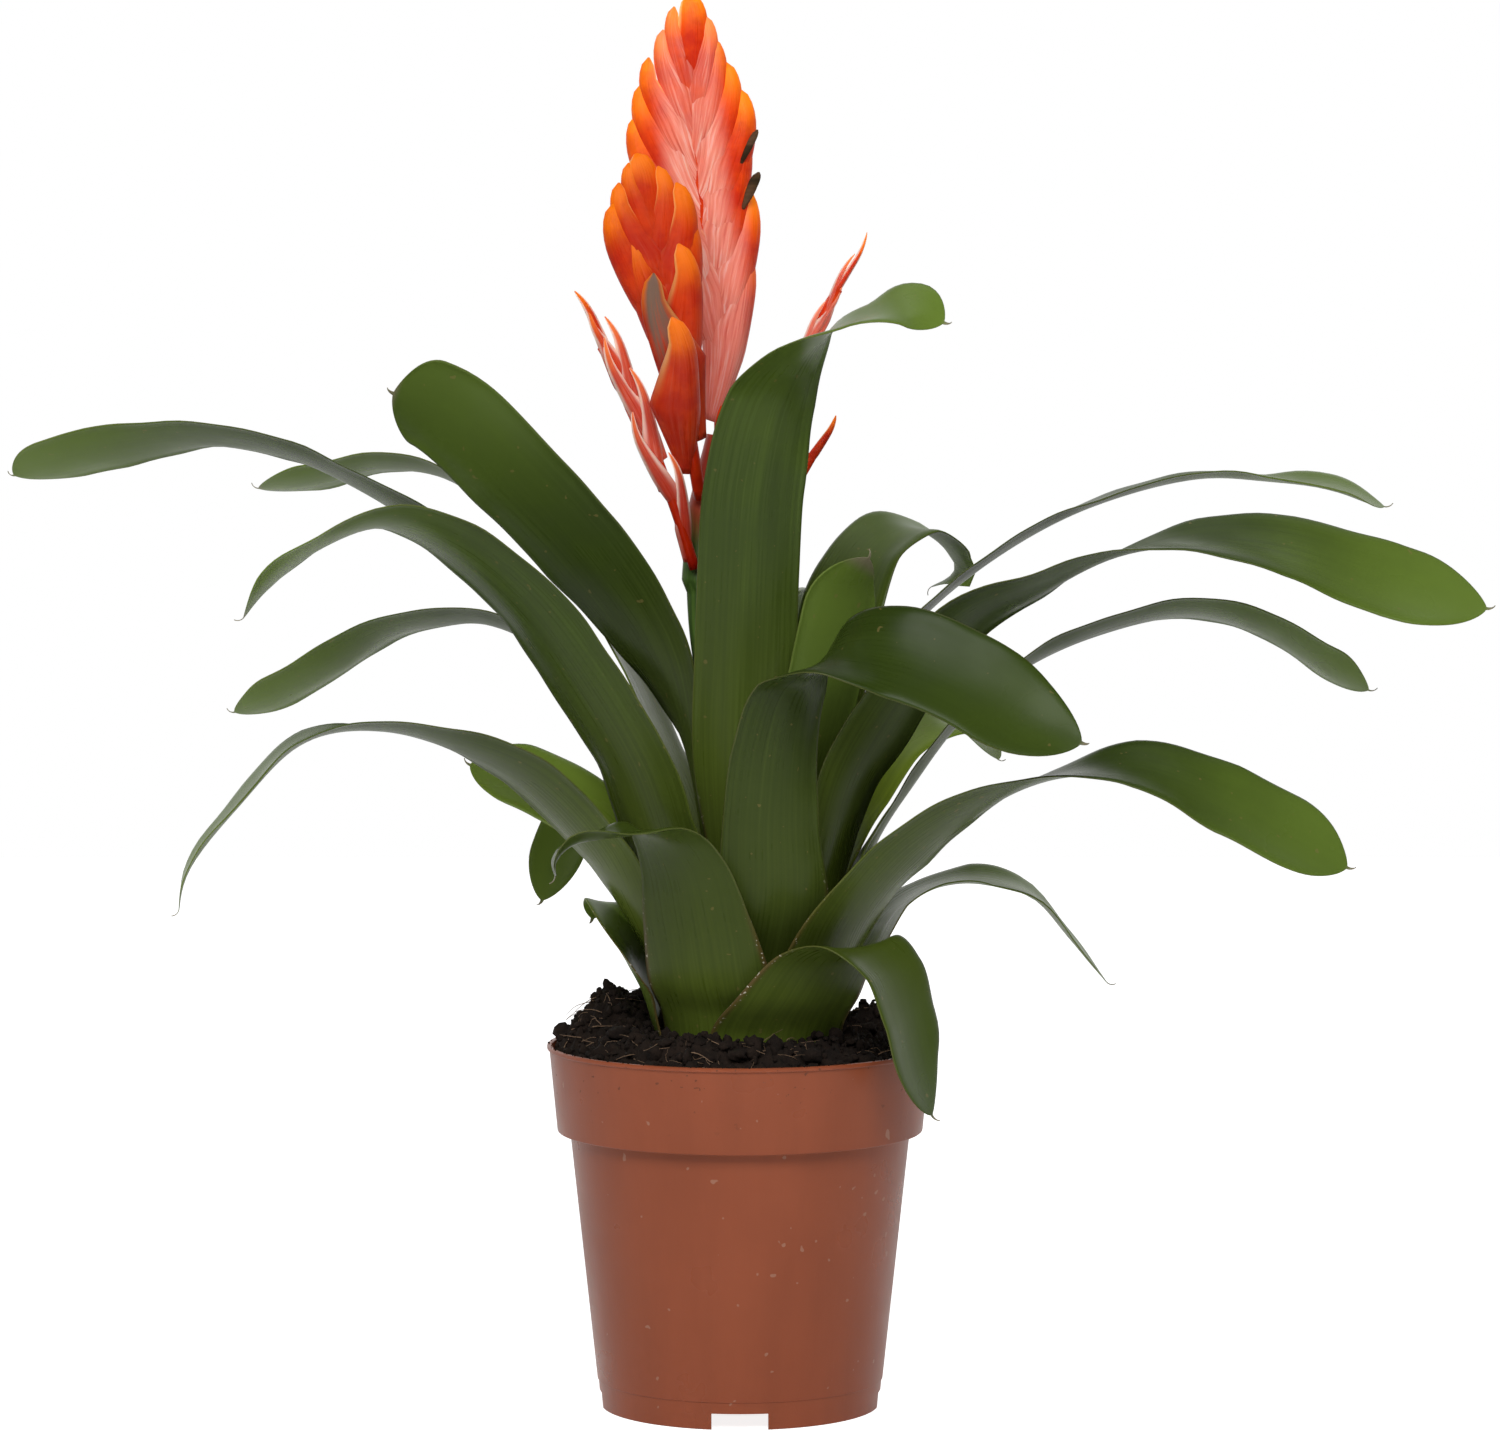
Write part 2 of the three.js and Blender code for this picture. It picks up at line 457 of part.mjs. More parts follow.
function leafRow(leaf, curve, marks, s, length) {
  const u = curve.getUtoTmapping(s / length);
  const centre = curve.getPoint(u);
  const along = curve.getTangent(u).normalize();
  const place = u * (marks.length - 1);
  const i = Math.min(Math.floor(place), marks.length - 2);
  const roll = rad(lerp(marks[i][0], marks[i + 1][0], place - i));
  const facing = rad(lerp(marks[i][1], marks[i + 1][1], place - i) + 90);
  const free = smooth((s - RING_HEIGHT) / SHEATH_FADE);

  const radius = Math.hypot(centre.x, centre.y);
  const out = new THREE.Vector3(centre.x / radius, centre.y / radius, 0);
  const sheathSide = new THREE.Vector3().crossVectors(UP, out);
  const bladeSide = new THREE.Vector3(Math.cos(facing), Math.sin(facing), 0);
  bladeSide.addScaledVector(along, -bladeSide.dot(along)).normalize();
  bladeSide.applyAxisAngle(along, roll);
  const bladeUp = new THREE.Vector3().crossVectors(along, bladeSide);

  const side = sheathSide.lerp(bladeSide, free).normalize();
  const inward = out.negate().lerp(bladeUp, free).normalize();
  const bend = 1 / lerp(1 / radius, 1 / (leaf.channel ?? CHANNEL_RADIUS), free);
  const half = leafWidth(leaf, s, length - s, radius) / 2 / bend;
  const row = [];
  for (let c = 0; c <= LEAF_COLUMNS; c++) {
    const angle = half * (2 * c / LEAF_COLUMNS - 1);
    row.push(centre.clone()
      .addScaledVector(side, bend * Math.sin(angle))
      .addScaledVector(inward, bend * (1 - Math.cos(angle))));
  }
  return row;
}

// Offsets a grid of points half the thickness to both sides of its own surface
function thicken(rows, thickness) {
  const upper = [];
  const lower = [];
  const rowMax = rows.length - 1;
  const columnMax = rows[0].length - 1;
  for (let r = 0; r <= rowMax; r++) {
    for (let c = 0; c <= columnMax; c++) {
      const along = rows[Math.min(r + 1, rowMax)][c].clone().sub(rows[Math.max(r - 1, 0)][c]);
      const across = rows[r][Math.min(c + 1, columnMax)].clone().sub(rows[r][Math.max(c - 1, 0)]);
      const normal = along.cross(across).normalize().multiplyScalar(thickness / 2);
      upper.push(rows[r][c].clone().add(normal).toArray());
      lower.push(rows[r][c].clone().sub(normal).toArray());
    }
  }
  return { upper, lower };
}

// The green stalk in the middle, with its clasping stem bracts as steps in its girth
function makeStalk() {
  const curve = new THREE.CatmullRomCurve3(STALK_PATH.map((p) => new THREE.Vector3(...p)));
  const rings = STALK_GIRTH.map(([u, radius]) => {
    const centre = curve.getPoint(u);
    const along = curve.getTangent(u).normalize();
    const side = new THREE.Vector3(1, 0, 0).addScaledVector(along, -along.x).normalize();
    const front = new THREE.Vector3().crossVectors(along, side);
    return ringOf(STALK_SIDES, (a) => centre.clone()
      .addScaledVector(side, radius * Math.cos(a))
      .addScaledVector(front, radius * Math.sin(a)));
  });
  return closedMesh('flower_stalk', tube(rings), paint(0x4f7a2c, 0.5));
}

function ringOf(sides, place) {
  return Array.from({ length: sides }, (_, i) => place(2 * Math.PI * i / sides));
}

// Skin over a run of matching rings, closed by a flat face at each end
function tube(rings) {
  const sides = rings[0].length;
  const points = rings.flat().flatMap((p) => p.toArray());
  const index = [];
  for (let r = 0; r < rings.length - 1; r++) {
    for (let i = 0; i < sides; i++) {
      const a = r * sides + i;
      const b = r * sides + (i + 1) % sides;
      index.push(a, b, b + sides, a, b + sides, a + sides);
    }
  }
  const top = (rings.length - 1) * sides;
  for (let i = 1; i < sides - 1; i++) {
    index.push(0, i + 1, i, top, top + i, top + i + 1);
  }
  const geometry = new THREE.BufferGeometry();
  geometry.setAttribute('position', new THREE.Float32BufferAttribute(points, 3));
  geometry.setIndex(index);
  return geometry;
}

// How far the keel stands out from a bract's middle line, as a share of its breadth
function bractKeel(t, taper) {
  return Math.min(1, 0.4 + 1.6 * t) * Math.sqrt(1 - t ** taper);
}

// How far the flanks reach in past the middle line: furthest low down, as far as the keel at the tip
function bractFlank(t, taper, wrap) {
  const reach = lerp(wrap, 1, clamp((t - FLANK_FULL) / (FLANK_END - FLANK_FULL), 0, 1));
  return Math.min(reach, FLANK_FOOT + FLANK_RISE * t) * Math.sqrt(1 - t ** taper);
}

// Half depth of a bract along its length, as a share of the most
function bractDepth(t) {
  return Math.min(1, 0.35 + 1.6 * t) * (1 - t ** 4) ** 0.8;
}

// A folded bract: it leaves the axis outward, then bends back so that its tip points along the axis
function bractGeometry(spike, root, along, side, size, splay, shape) {
  const face = new THREE.Vector3().crossVectors(side, along);
  const centre = root.clone().addScaledVector(side, -size * BRACT_CLASP);
  const heading = (t) => {
    const curl = BRACT_CURL * Math.max(0, t - CURL_START) / (1 - CURL_START);
    const angle = rad(lerp(splay, BRACT_TIP_ANGLE, t) - curl);
    return along.clone().multiplyScalar(Math.cos(angle)).addScaledVector(side, Math.sin(angle));
  };
  const rings = [];
  const rows = spike.rows ?? BRACT_ROWS;
  const steps = rows * BRACT_STEPS;
  for (let i = 0; i <= steps; i++) {
    const t = i / steps;
    const ahead = heading(t);
    if (i > 0) {
      centre.addScaledVector(heading(t - 0.5 / steps), size / steps);
    }
    if (i % BRACT_STEPS === 0) {
      const outward = new THREE.Vector3().crossVectors(ahead, face);
      const keel = size * shape.breadth * Math.max(BRACT_POINT, bractKeel(t, spike.taper));
      const flank = size * shape.breadth * Math.max(BRACT_POINT, bractFlank(t, spike.taper, shape.wrap));
      const depth = size * spike.depth * Math.max(BRACT_POINT, bractDepth(t));
      rings.push(BRACT_SECTION.map(([across, deep]) => centre.clone()
        .addScaledVector(outward, across * (across > 0 ? keel : flank))
        .addScaledVector(face, depth * deep)));
    }
  }
  return tube(rings);
}

// Value at a share q of the way along three evenly spaced ones
function between([foot, middle, top], q) {
  return q < 0.5 ? lerp(foot, middle, 2 * q) : lerp(middle, top, 2 * q - 1);
}

function makeSpike(spike) {
  const curve = new THREE.CatmullRomCurve3(spike.path.map((p) => new THREE.Vector3(...p)));
  const flat = new THREE.Vector3(Math.cos(rad(spike.turn)), Math.sin(rad(spike.turn)), 0);
  const frameAt = (u) => {
    const along = curve.getTangentAt(u).normalize();
    const side = flat.clone().addScaledVector(along, -flat.dot(along)).normalize();
    return { along, side, face: new THREE.Vector3().crossVectors(side, along) };
  };
  const axis = [0, 0.5, 0.8].map((u) => {
    const { side, face } = frameAt(u);
    return ringOf(6, (a) => curve.getPointAt(u)
      .addScaledVector(side, spike.stem * Math.cos(a))
      .addScaledVector(face, -spike.stem * Math.sin(a)));
  });
  const pieces = [tube(axis)];
  for (let i = 0; i < spike.count; i++) {
    const u = lerp(spike.start, spike.end, (i / (spike.count - 1)) ** BRACT_CROWD);
    const { along, side } = frameAt(u);
    const size = between(spike.lengths, i / (spike.count - 1));
    const apex = i === spike.count - 1;
    const splay = apex ? APEX_SPLAY : between(spike.splays, i / (spike.count - 1));
    const shape = apex ? { breadth: spike.apex * spike.breadth, wrap: 1 } : spike;
    const hand = i % 2 === 0 ? 1 : -1;
    pieces.push(bractGeometry(spike, curve.getPointAt(u), along, side.multiplyScalar(hand), size, splay,
      shape));
  }
  return closedMesh(spike.name, fuse(pieces), paint(spike.colour, 0.38));
}

function makeLeaves() {
  return LEAVES.map((leaf, order) => {
    const shade = new THREE.Color().setHSL(0.29, 0.42, leaf.light ?? 0.2);
    return closedMesh(leaf.name, leafGeometry(leaf, order), paint(shade, 0.42));
  });
}

// The plant stands a little off the middle of the pot
function atPlant(mesh) {
  mesh.geometry.translate(PLANT_X, 0, 0);
  return mesh;
}

const root = new THREE.Group();
root.name = 'potted_vriesea';
root.add(makePot(), makeSoil());
root.add(...[makeCrown(), makeStalk(), ...makeLeaves(), ...SPIKES.map(makeSpike)].map(atPlant));
export default root;
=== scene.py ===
"""Finished look of a potted vriesea with orange-red flower spikes, over its measured frame.

Metres, +Z up, the viewer on the -Y side. The growth tables below are in millimetres from the
middle of the plant, which stands PLANT_X to the right of the middle of the pot.
"""

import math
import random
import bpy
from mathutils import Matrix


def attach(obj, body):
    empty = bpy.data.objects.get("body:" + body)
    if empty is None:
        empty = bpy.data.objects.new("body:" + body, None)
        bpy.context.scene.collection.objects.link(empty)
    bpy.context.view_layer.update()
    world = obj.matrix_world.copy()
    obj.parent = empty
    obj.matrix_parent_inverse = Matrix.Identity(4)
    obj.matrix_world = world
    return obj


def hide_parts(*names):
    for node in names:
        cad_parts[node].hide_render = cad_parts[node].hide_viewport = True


bl_info = {
    "name": "Potted Vriesea",
    "version": (1, 0, 0),
    "blender": (4, 5, 0),
    "location": "3D View > Sidebar > Vriesea",
    "description": "Builds a potted vriesea with arching leaves and flattened flower spikes",
    "category": "Object",
}

import bmesh
import bpy
import numpy as np
from bpy.props import FloatProperty, FloatVectorProperty, IntProperty, PointerProperty
from bpy.types import Operator, Panel, PropertyGroup
from mathutils import Vector, noise

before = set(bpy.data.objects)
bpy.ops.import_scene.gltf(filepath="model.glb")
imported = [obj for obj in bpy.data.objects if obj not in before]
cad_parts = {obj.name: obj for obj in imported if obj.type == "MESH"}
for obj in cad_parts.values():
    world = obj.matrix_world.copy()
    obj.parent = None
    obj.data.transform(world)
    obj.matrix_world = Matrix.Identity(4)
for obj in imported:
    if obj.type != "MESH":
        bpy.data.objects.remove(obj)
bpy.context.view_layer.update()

MM = 0.001
X_AXIS = np.array((1.0, 0.0, 0.0))
Y_AXIS = np.array((0.0, 1.0, 0.0))

# Sockets of the mix node that take and give colours
MIX_COLOUR_SOCKETS = (0, 6, 7)
MIX_COLOUR_RESULT = 2

# Pot
POT_HEIGHT = 113.2
RIM_RADIUS = 60.0
COLLAR_FOOT_Z = 86.3
COLLAR_FOOT_RADIUS = 56.8
BODY_TOP_RADIUS = 52.9
PARTING_RADIUS = 44.5
PARTING_Z = 8.6
PARTING_STEP = 0.3
FOOT_RADIUS = 43.4
WALL = 1.6
LIP_HEIGHT = 1.3
LIP_STEP = 0.35
FLOOR_Z = 5.6
FLOOR_THICKNESS = 1.8
NOTCH_WIDTH = 17.3
NOTCH_HEIGHT = 5.1
NOTCH_DEPTH = 12.0
DRAIN_RADIUS = 4.5
DRAIN_CIRCLE = 30.0
DRAIN_SIDES = 32
DRAIN_CUT = (FLOOR_Z - 3.0, FLOOR_Z + 4.0)
AXIS_GAP = 0.5
CORNER_RADIUS = 0.45
SHARP_ANGLE = 32.0
POT_DUST = (0.06, 0.03, 0.018)
POT_LINT = (0.45, 0.28, 0.2)

# Soil
SOIL_GAP = 0.35
SOIL_WALL_Z = 110.0
SOIL_PLANT_Z = 116.5
SOIL_HOLE_RADIUS = 32.0
SOIL_CLUMP = 1.6
SOIL_RINGS = 34
SOIL_OVERLAP = 6.0
SOIL_TUCK_SHARE = 0.2
SOIL_TUCK = 8.0
SOIL_CRUMBLE = 1.5
SOIL_EDGE_CRUMBLE = 0.6
CRUMB_INNER_RADIUS = 27.0
CRUMB_OUTER_RADIUS = 56.9
CRUMB_LIP_SHARE = 0.05
CRUMB_MOST = 3.0
FIBRE_STEPS = 8
FIBRE_SIDES = 4
FIBRE_OUTER_RADIUS = 56.5
FIBRE_ARCS = ((0.0, 360.0), (140.0, 200.0), (225.0, 300.0))
PEAT_GRIT = (0.075, 0.045, 0.028)
ROOT_DARK = (0.12, 0.07, 0.04)
ROOT_LIGHT = (0.32, 0.2, 0.12)
SOIL_HEAPS = [
    dict(turn=165, radius=43, height=12, spread=15),
    dict(turn=125, radius=40, height=7, spread=14),
    dict(turn=15, radius=44, height=8, spread=10),
    dict(turn=250, radius=44, height=2.5, spread=12),
]

# Rosette
PLANT_X = 3.0
RING_OUTER_RADIUS = 28.0
RING_STEP = 0.8
RING_FOOT_Z = 107.0
RING_RISE = 1.35
RING_LEAN_OUTER = 15.0
RING_LEAN_INNER = 5.0
RING_HEIGHT = 14.0
CROWN_DARK = (0.05, 0.05, 0.02)
CROWN_LIGHT = (0.14, 0.15, 0.05)

# Leaf blade
LEAF_WIDTH = 32.0
LEAF_THICKNESS = 0.75
CHANNEL_RADIUS = 55.0
SHEATH_WRAP = 53.0
SHEATH_WIDTH = 50.0
SHEATH_FADE = 75.0
THIN_EDGE = 0.55
THIN_TIP = 9.0
TIP_ROWS = 16
TIP_WIDTH = 1.3
TIP_LENGTH = 17.0
TIP_ROUND = 1.8
TIP_TAPER = 0.7
COLUMN_CROWD = 0.82
MARGIN_ROLL = 0.7
MARGIN_BAND = 0.2
WAVE_LENGTHS = (19.0, 31.0, 53.0)
HOOK_LENGTH = 2.6
HOOK_TURN = 75.0
HOOK_STEPS = 6
HOOK_HALF_WIDTHS = (0.65, 0.12)
HOOK_MARK_WIDTHS = (1.2, 0.3)
DRY_TIP = 3.6
LEAF_SEED = 100

# Leaf tones that aren't settings
LEAF_SHADE = (0.007, 0.014, 0.002)
LEAF_DARK_LINE = (0.014, 0.026, 0.003)
LEAF_LIGHT_LINE = (0.15, 0.22, 0.05)
LEAF_MARGIN = (0.2, 0.19, 0.07)
LEAF_SCAR = (0.11, 0.06, 0.022)
LEAF_SCORCH = (0.26, 0.22, 0.15)
LEAF_FLECK = (0.23, 0.17, 0.06)
LEAF_LIME = (0.6, 0.56, 0.45)

# Flower stalk: middle line, then its radius along it
STALK_PATH = [(0, 0, 138.2), (-6, 3, 190), (-14.5, 4, 245), (-15, 4, 270), (-10, 4, 302)]
STALK_GIRTH = [
    (0, 4), (0.35, 4), (0.4, 4.8), (0.58, 4.4), (0.62, 5.8), (0.78, 4.6), (0.82, 5.2), (1, 3.4),
]

STALK_RINGS = 120
STALK_SIDES = 24

# Bracts: lengths are shares of each bract's own length, angles are in degrees
BRACT_MARKS = ("share", "wide", "out", "pink", "dry", "seed")
BRACT_CROWD = 0.8
BRACT_CLASP = 0.04
BRACT_TIP_ANGLE = 4.0
BRACT_CURL = 20.0
CURL_START = 0.7
BRACT_POINT = 0.1
FLANK_FOOT = 0.7
FLANK_RISE = 4.5
FLANK_FULL = 0.4
FLANK_END = 0.85
PINK_FADE = 2.6
APEX_SPLAY = 6.0
KEEL_SHARPNESS = 1.25
FOLD_SHARPNESS = 0.8
PLEAT_DEPTH = 0.05
PLEAT_COUNT = 9.0
STEPS_PER_RING = 3
STEM_END = 0.85
STEM_RINGS = 24
STEM_SIDES = 16
FLORET_RINGS = 14
FLORET_SIDES = 12
FLORET_EDGE = 0.12
SPIKE_SEED = 300

# Tones of the bracts, florets and stalk that aren't settings
# Painted highlight down the middle of the pink bracts
BRACT_PAINTED_HIGHLIGHT = (1.0, 0.68, 0.58)
BRACT_LOW = (0.8, 0.55, 0.6)
BRACT_FOOT = (0.6, 0.25, 0.25)
BRACT_LIGHT_STREAK = (0.95, 0.28, 0.1)
BRACT_DARK_STREAK = (0.42, 0.014, 0.003)
# Painted glow of backlight along the bract margins
BRACT_MARGIN_GLOW = (1.0, 0.6, 0.22)
BRACT_PAPER = (0.9, 0.66, 0.56)
FLORET_DARK = (0.03, 0.019, 0.008)
FLORET_LIGHT = (0.16, 0.085, 0.045)
STALK_DARK = (0.05, 0.105, 0.016)
STALK_LIGHT = (0.11, 0.2, 0.035)
STALK_RED = (0.5, 0.06, 0.03)

# Stage. A light is its name, place, aim, width, height and the setting that holds its power.
FLOOR_REACH = 1800.0
FLOOR_MIRROR_SHARE = 0.25
LIGHTS = [
    ("front_box", (-0.15, -1.55, 1.4), (0.0, 0.0, 0.22), 1.7, 0.9, "front_light"),
    ("left_box", (-1.7, 0.1, 0.7), (0.0, 0.0, 0.22), 1.2, 1.4, "side_light"),
    ("right_box", (1.7, 0.1, 0.7), (0.0, 0.0, 0.22), 1.2, 1.4, "side_light"),
    ("top_box", (0.0, 0.5, 1.9), (0.0, 0.0, 0.2), 1.6, 1.2, "top_light"),
]
CAMERA_LENS = 133.063
CAMERA_SENSOR = 36.0
CAMERA_PLACE = (0.0031, -1.7136, 0.3335)
CAMERA_PITCH = 0.069

# Every leaf, outermost first. base is the bearing of its sheath and wrap half the turn it takes
# round the plant; tip is the length of the rounded end; fresh, dull and shade are how far its green
# goes to those tones; dry is how much of the tip has withered. A path point is x, y, z of the middle
# of the blade, then its roll, then the bearing it faces where that isn't the path's own.
LEAVES = [
    dict(name="leaf_front_low_right", base=292, tip=30, shade=0.45, path=[
        (17, -37, 131, 0, 300), (26, -43, 145, 0, 310), (34, -48, 148, 0, 320), (42, -50, 141, 0, 328),
        (47, -50, 127, 0, 330), (50, -50, 113, 0, 330), (56, -48, 95, 0, 330)]),
    dict(name="leaf_back_low_left", base=166, wrap=38, width=20, path=[
        (-37, -2, 139, 0), (-42, 3, 151, 6), (-45, 11, 156, 12), (-48, 15, 154, 12), (-50, 16, 148, 8)]),
    dict(name="leaf_right_low_thin", base=38, tip=40, path=[
        (38, 16, 142, 0), (45, 22, 152, -12), (57, 27, 159, -6), (73, 31, 161, 8), (89, 34, 156, 10),
        (101, 35, 143, 12), (115, 36, 126, 15)]),
    dict(name="leaf_front_low_left", base=246, shade=0.5, path=[
        (-14, -34, 135, 0, 248), (-17, -42, 155, 0, 244), (-21, -51, 173, 0, 236),
        (-29, -57, 184, 0, 222), (-42, -61, 183, 5, 205), (-53, -63, 181, 15, 200),
        (-58, -63, 176, 10, 195), (-58, -62, 169, 0, 195)]),
    dict(name="leaf_back_low", base=100, wrap=46, path=[
        (-4, 36, 142, 0), (-6, 52, 159, 0), (-6, 66, 167, 0), (-7, 78, 160, 0), (-8, 83, 141, 0)]),
    dict(name="leaf_right_low", base=332, tip=22, shade=0.15, path=[
        (31, -26, 153, -28), (47, -32, 174, -30), (64, -35, 187, -20), (89, -38, 198, -4),
        (116, -40, 202, 22), (144, -42, 192, 36), (163, -43, 182, 38), (183, -44, 171, 40)]),
    dict(name="leaf_left_low_thin", base=196, tip=42, wrap=42, path=[
        (-34, -14, 150, 10, 190), (-46, -21, 174, 25, 190), (-67, -26, 197, 25, 188),
        (-84, -29, 206, 18, 187), (-111, -31, 213, 8, 186), (-135, -33, 210, -2, 184),
        (-155, -35, 191, -4, 182), (-171, -36, 170, -4, 182), (-174, -36, 156, 0, 182)]),
    dict(name="leaf_right_middle", base=8, shade=0.15, path=[
        (38, 3, 173, -5), (51, 4, 194, -5), (67, 4, 215, -5), (87, 4, 231, -8), (112, 4, 242, -12),
        (138, 3, 247, -14), (161, 2, 241, -16), (181, 1, 229, -20), (194, 0, 222, -20)]),
    dict(name="leaf_left_low_drooping", base=126, wrap=38, width=21, fresh=0.3, path=[
        (-27, 31, 158, 0), (-38, 50, 180, 4), (-47, 61, 190, 6), (-56, 68, 180, 10),
        (-63, 71, 163, 12), (-68, 72, 148, 10)]),
    dict(name="leaf_front_middle", base=276, tip=30, shade=0.5, path=[
        (7, -40, 162, 0, 285), (7, -45, 187, 0, 296), (9, -48, 211, 0, 306), (14, -52, 227, 5, 308),
        (26, -59, 238, 35, 318), (44, -64, 238, 56, 340), (63, -67, 231, 58, 350),
        (83, -69, 219, 58, 350), (101, -71, 211, 58, 350)]),
    dict(name="leaf_back_middle", base=72, wrap=46, path=[
        (6, 40, 170, 0), (8, 57, 191, 0), (10, 70, 199, 0), (11, 79, 192, 0), (12, 83, 171, 0)]),
    dict(name="leaf_right_wide", base=332, tip=24, path=[
        (31, -19, 194, -30), (41, -21, 213, -36), (54, -24, 232, -33), (69, -27, 247, -26),
        (88, -31, 256, -16), (111, -34, 266, -2), (136, -37, 271, 16), (163, -39, 268, 34),
        (193, -41, 258, 42), (225, -42, 250, 40)]),
    dict(name="leaf_left_light", base=165, wrap=40, fresh=0.45, path=[
        (-34, 18, 161, -16), (-46, 27, 177, -26), (-61, 32, 188, -30), (-76, 34, 194, -30),
        (-91, 35, 198, -28)]),
    dict(name="leaf_right_light", base=62, wrap=38, width=24, fresh=0.8, path=[
        (23, 27, 168, 5), (34, 40, 187, 20), (47, 53, 204, 22), (62, 64, 209, 18), (74, 73, 203, 12),
        (82, 78, 194, 8)]),
    dict(name="leaf_left_front", base=224, tip=24, dry=6, path=[
        (-27, -31, 176, 13, 215), (-36, -41, 203, 18, 210), (-52, -50, 231, 24, 205),
        (-69, -57, 254, 27), (-88, -61, 270, 22), (-108, -64, 277, 14), (-128, -66, 270, 14),
        (-143, -67, 259, 20), (-152, -67, 247, 16)]),
    dict(name="leaf_right_thin", base=20, path=[
        (33, 16, 210, -4), (45, 22, 234, -8), (60, 27, 250, -10), (85, 31, 268, -9),
        (110, 34, 280, -4), (142, 36, 288, -2), (165, 37, 287, 1), (183, 38, 285, 10),
        (203, 39, 278, 16)]),
    dict(name="leaf_left_middle", base=152, dull=0.15, path=[
        (-34, 24, 187, 0), (-50, 32, 216, 10), (-66, 38, 234, 14), (-84, 43, 242, 12),
        (-98, 46, 242, 12), (-116, 48, 238, 13), (-134, 50, 227, 16), (-155, 52, 216, 18),
        (-167, 53, 212, 18)]),
    dict(name="leaf_upright_right", base=317, wrap=42, width=29, dry=9, path=[
        (16, -11, 193, 0, 302), (20, -12, 212, 0, 302), (24, -13, 227, 0, 304), (27, -14, 243, 0, 306),
        (30, -15, 255, 0, 308), (38, -16, 267, 0, 312)]),
    dict(name="leaf_left_long", base=205, dull=0.12, path=[
        (-29, -23, 182, 15), (-46, -27, 211, 22), (-67, -28, 242, 24), (-90, -27, 268, 22),
        (-114, -24, 284, 16), (-140, -20, 296, 13), (-168, -14, 301, 16), (-197, -6, 297, 24),
        (-230, 4, 289, 24)]),
    dict(name="leaf_right_back", base=56, tip=26, wrap=44, path=[
        (21, 16, 213, 0, 60), (28, 23, 241, 0, 55), (36, 34, 262, 0, 50), (49, 48, 272, 8, 45),
        (62, 60, 266, 20, 40), (67, 64, 258, 25, 40), (56, 66, 251, 20, 40)]),
    dict(name="leaf_left_back", base=150, wrap=46, fresh=0.12, dry=5, path=[
        (-31, 28, 212, 0), (-50, 36, 246, 5), (-73, 42, 271, 8), (-97, 47, 288, 10),
        (-118, 50, 291, 12), (-140, 52, 286, 14), (-159, 53, 284, 14)]),
    dict(name="leaf_center_tall", base=272, tip=21, wrap=46, path=[
        (-2, -15, 203, 0, 274), (-1, -18, 237, 0, 276), (0, -21, 264, 0, 278), (2, -25, 289, 0, 282),
        (8, -30, 314, 8, 290), (20, -39, 331, 26, 305), (34, -44, 338, 20, 322),
        (48, -47, 341, 27, 335), (60.5, -49, 335.5, 46, 340)]),
    dict(name="leaf_back_tall", base=70, wrap=40, width=25, path=[
        (-1, 8, 213, 0), (1, 16, 238, 0), (3, 30, 250, 0), (8, 52, 251, 0), (13, 74, 240, 0)]),
    dict(name="leaf_left_upper", base=176, tip=11, wrap=44, dry=5, shade=0.2, path=[
        (-22, 6, 214, 10), (-32, 4, 238, 38), (-52, 0, 266, 56), (-74, -4, 290, 62),
        (-94, -6, 309, 62), (-112, -8, 316, 56)]),
]

# Flower spikes. turn is the bearing of the flat of the spike; start and end are where along the
# axis the first and the last bract stand. Lengths and splays go foot, middle, top. dry says how
# withered a bract is, by its number. A floret is its foot, middle, tip and girth.
SPIKES = [
    dict(name="spike_main", turn=0,
         path=[(-9, 4, 302.5), (-9.5, 4, 330), (-14, 4, 362), (-17, 4, 392), (-18, 4, 426)],
         count=17, start=0.03, end=0.8, lengths=[58, 52, 36.7], splays=[18, 45, 14],
         breadth=0.068, wrap=3.8, taper=9, depth=0.08, stem=2, apex=1.9, pink=1.0,
         florets=[((-3.3, 1, 384.5), (-0.6, -1.6, 390), (2.4, -1, 396), 1.5),
                  ((-2.1, 1, 371.5), (0, -2.2, 377), (2.8, -1.4, 383), 2.1)]),
    dict(name="spike_front_left", turn=5,
         path=[(-15.3, -2.5, 283), (-18, -12, 300), (-23, -15, 330), (-33, -15, 380)],
         count=11, start=0.1, end=0.73, lengths=[56, 52, 36], splays=[8, 32, 12],
         breadth=0.075, wrap=3, taper=9, depth=0.08, stem=2, apex=1.8, pink=0.05, deep=1.0, dry={1: 1.0}),
    dict(name="spike_small_left", path=[(-17, -2.9, 261.2), (-24, -9, 283), (-36, -12, 313), (-52, -13, 341)],
         turn=10, count=7, start=0.03, end=0.68, lengths=[36, 42, 34], splays=[16, 11, 8],
         breadth=0.055, wrap=2, taper=1.6, depth=0.055, stem=1.7, apex=1.2, pink=0.25, pale=0.9, deep=0.8),
    dict(name="spike_right_back", path=[(-10.5, 8.9, 268), (-1, 16, 290), (18, 22, 329), (35, 27, 361)],
         turn=10, count=7, start=0.15, end=0.74, lengths=[34, 34, 32], splays=[9, 10, 6],
         breadth=0.04, wrap=2, taper=1.6, depth=0.05, stem=1.5, apex=1, pink=0.5, pale=0.9),
    dict(name="spike_small_right", path=[(-9.3, 7.2, 245.2), (3, 12, 266), (15, 14, 287), (27, 15.5, 308)],
         turn=10, count=3, start=0.3, end=0.7, lengths=[24, 24, 22], splays=[6, 8, 6],
         breadth=0.05, wrap=1.5, taper=1.6, depth=0.06, stem=1.2, apex=1.5, deep=0.6),
]


def lerp(a, b, share):
    return a + (b - a) * share


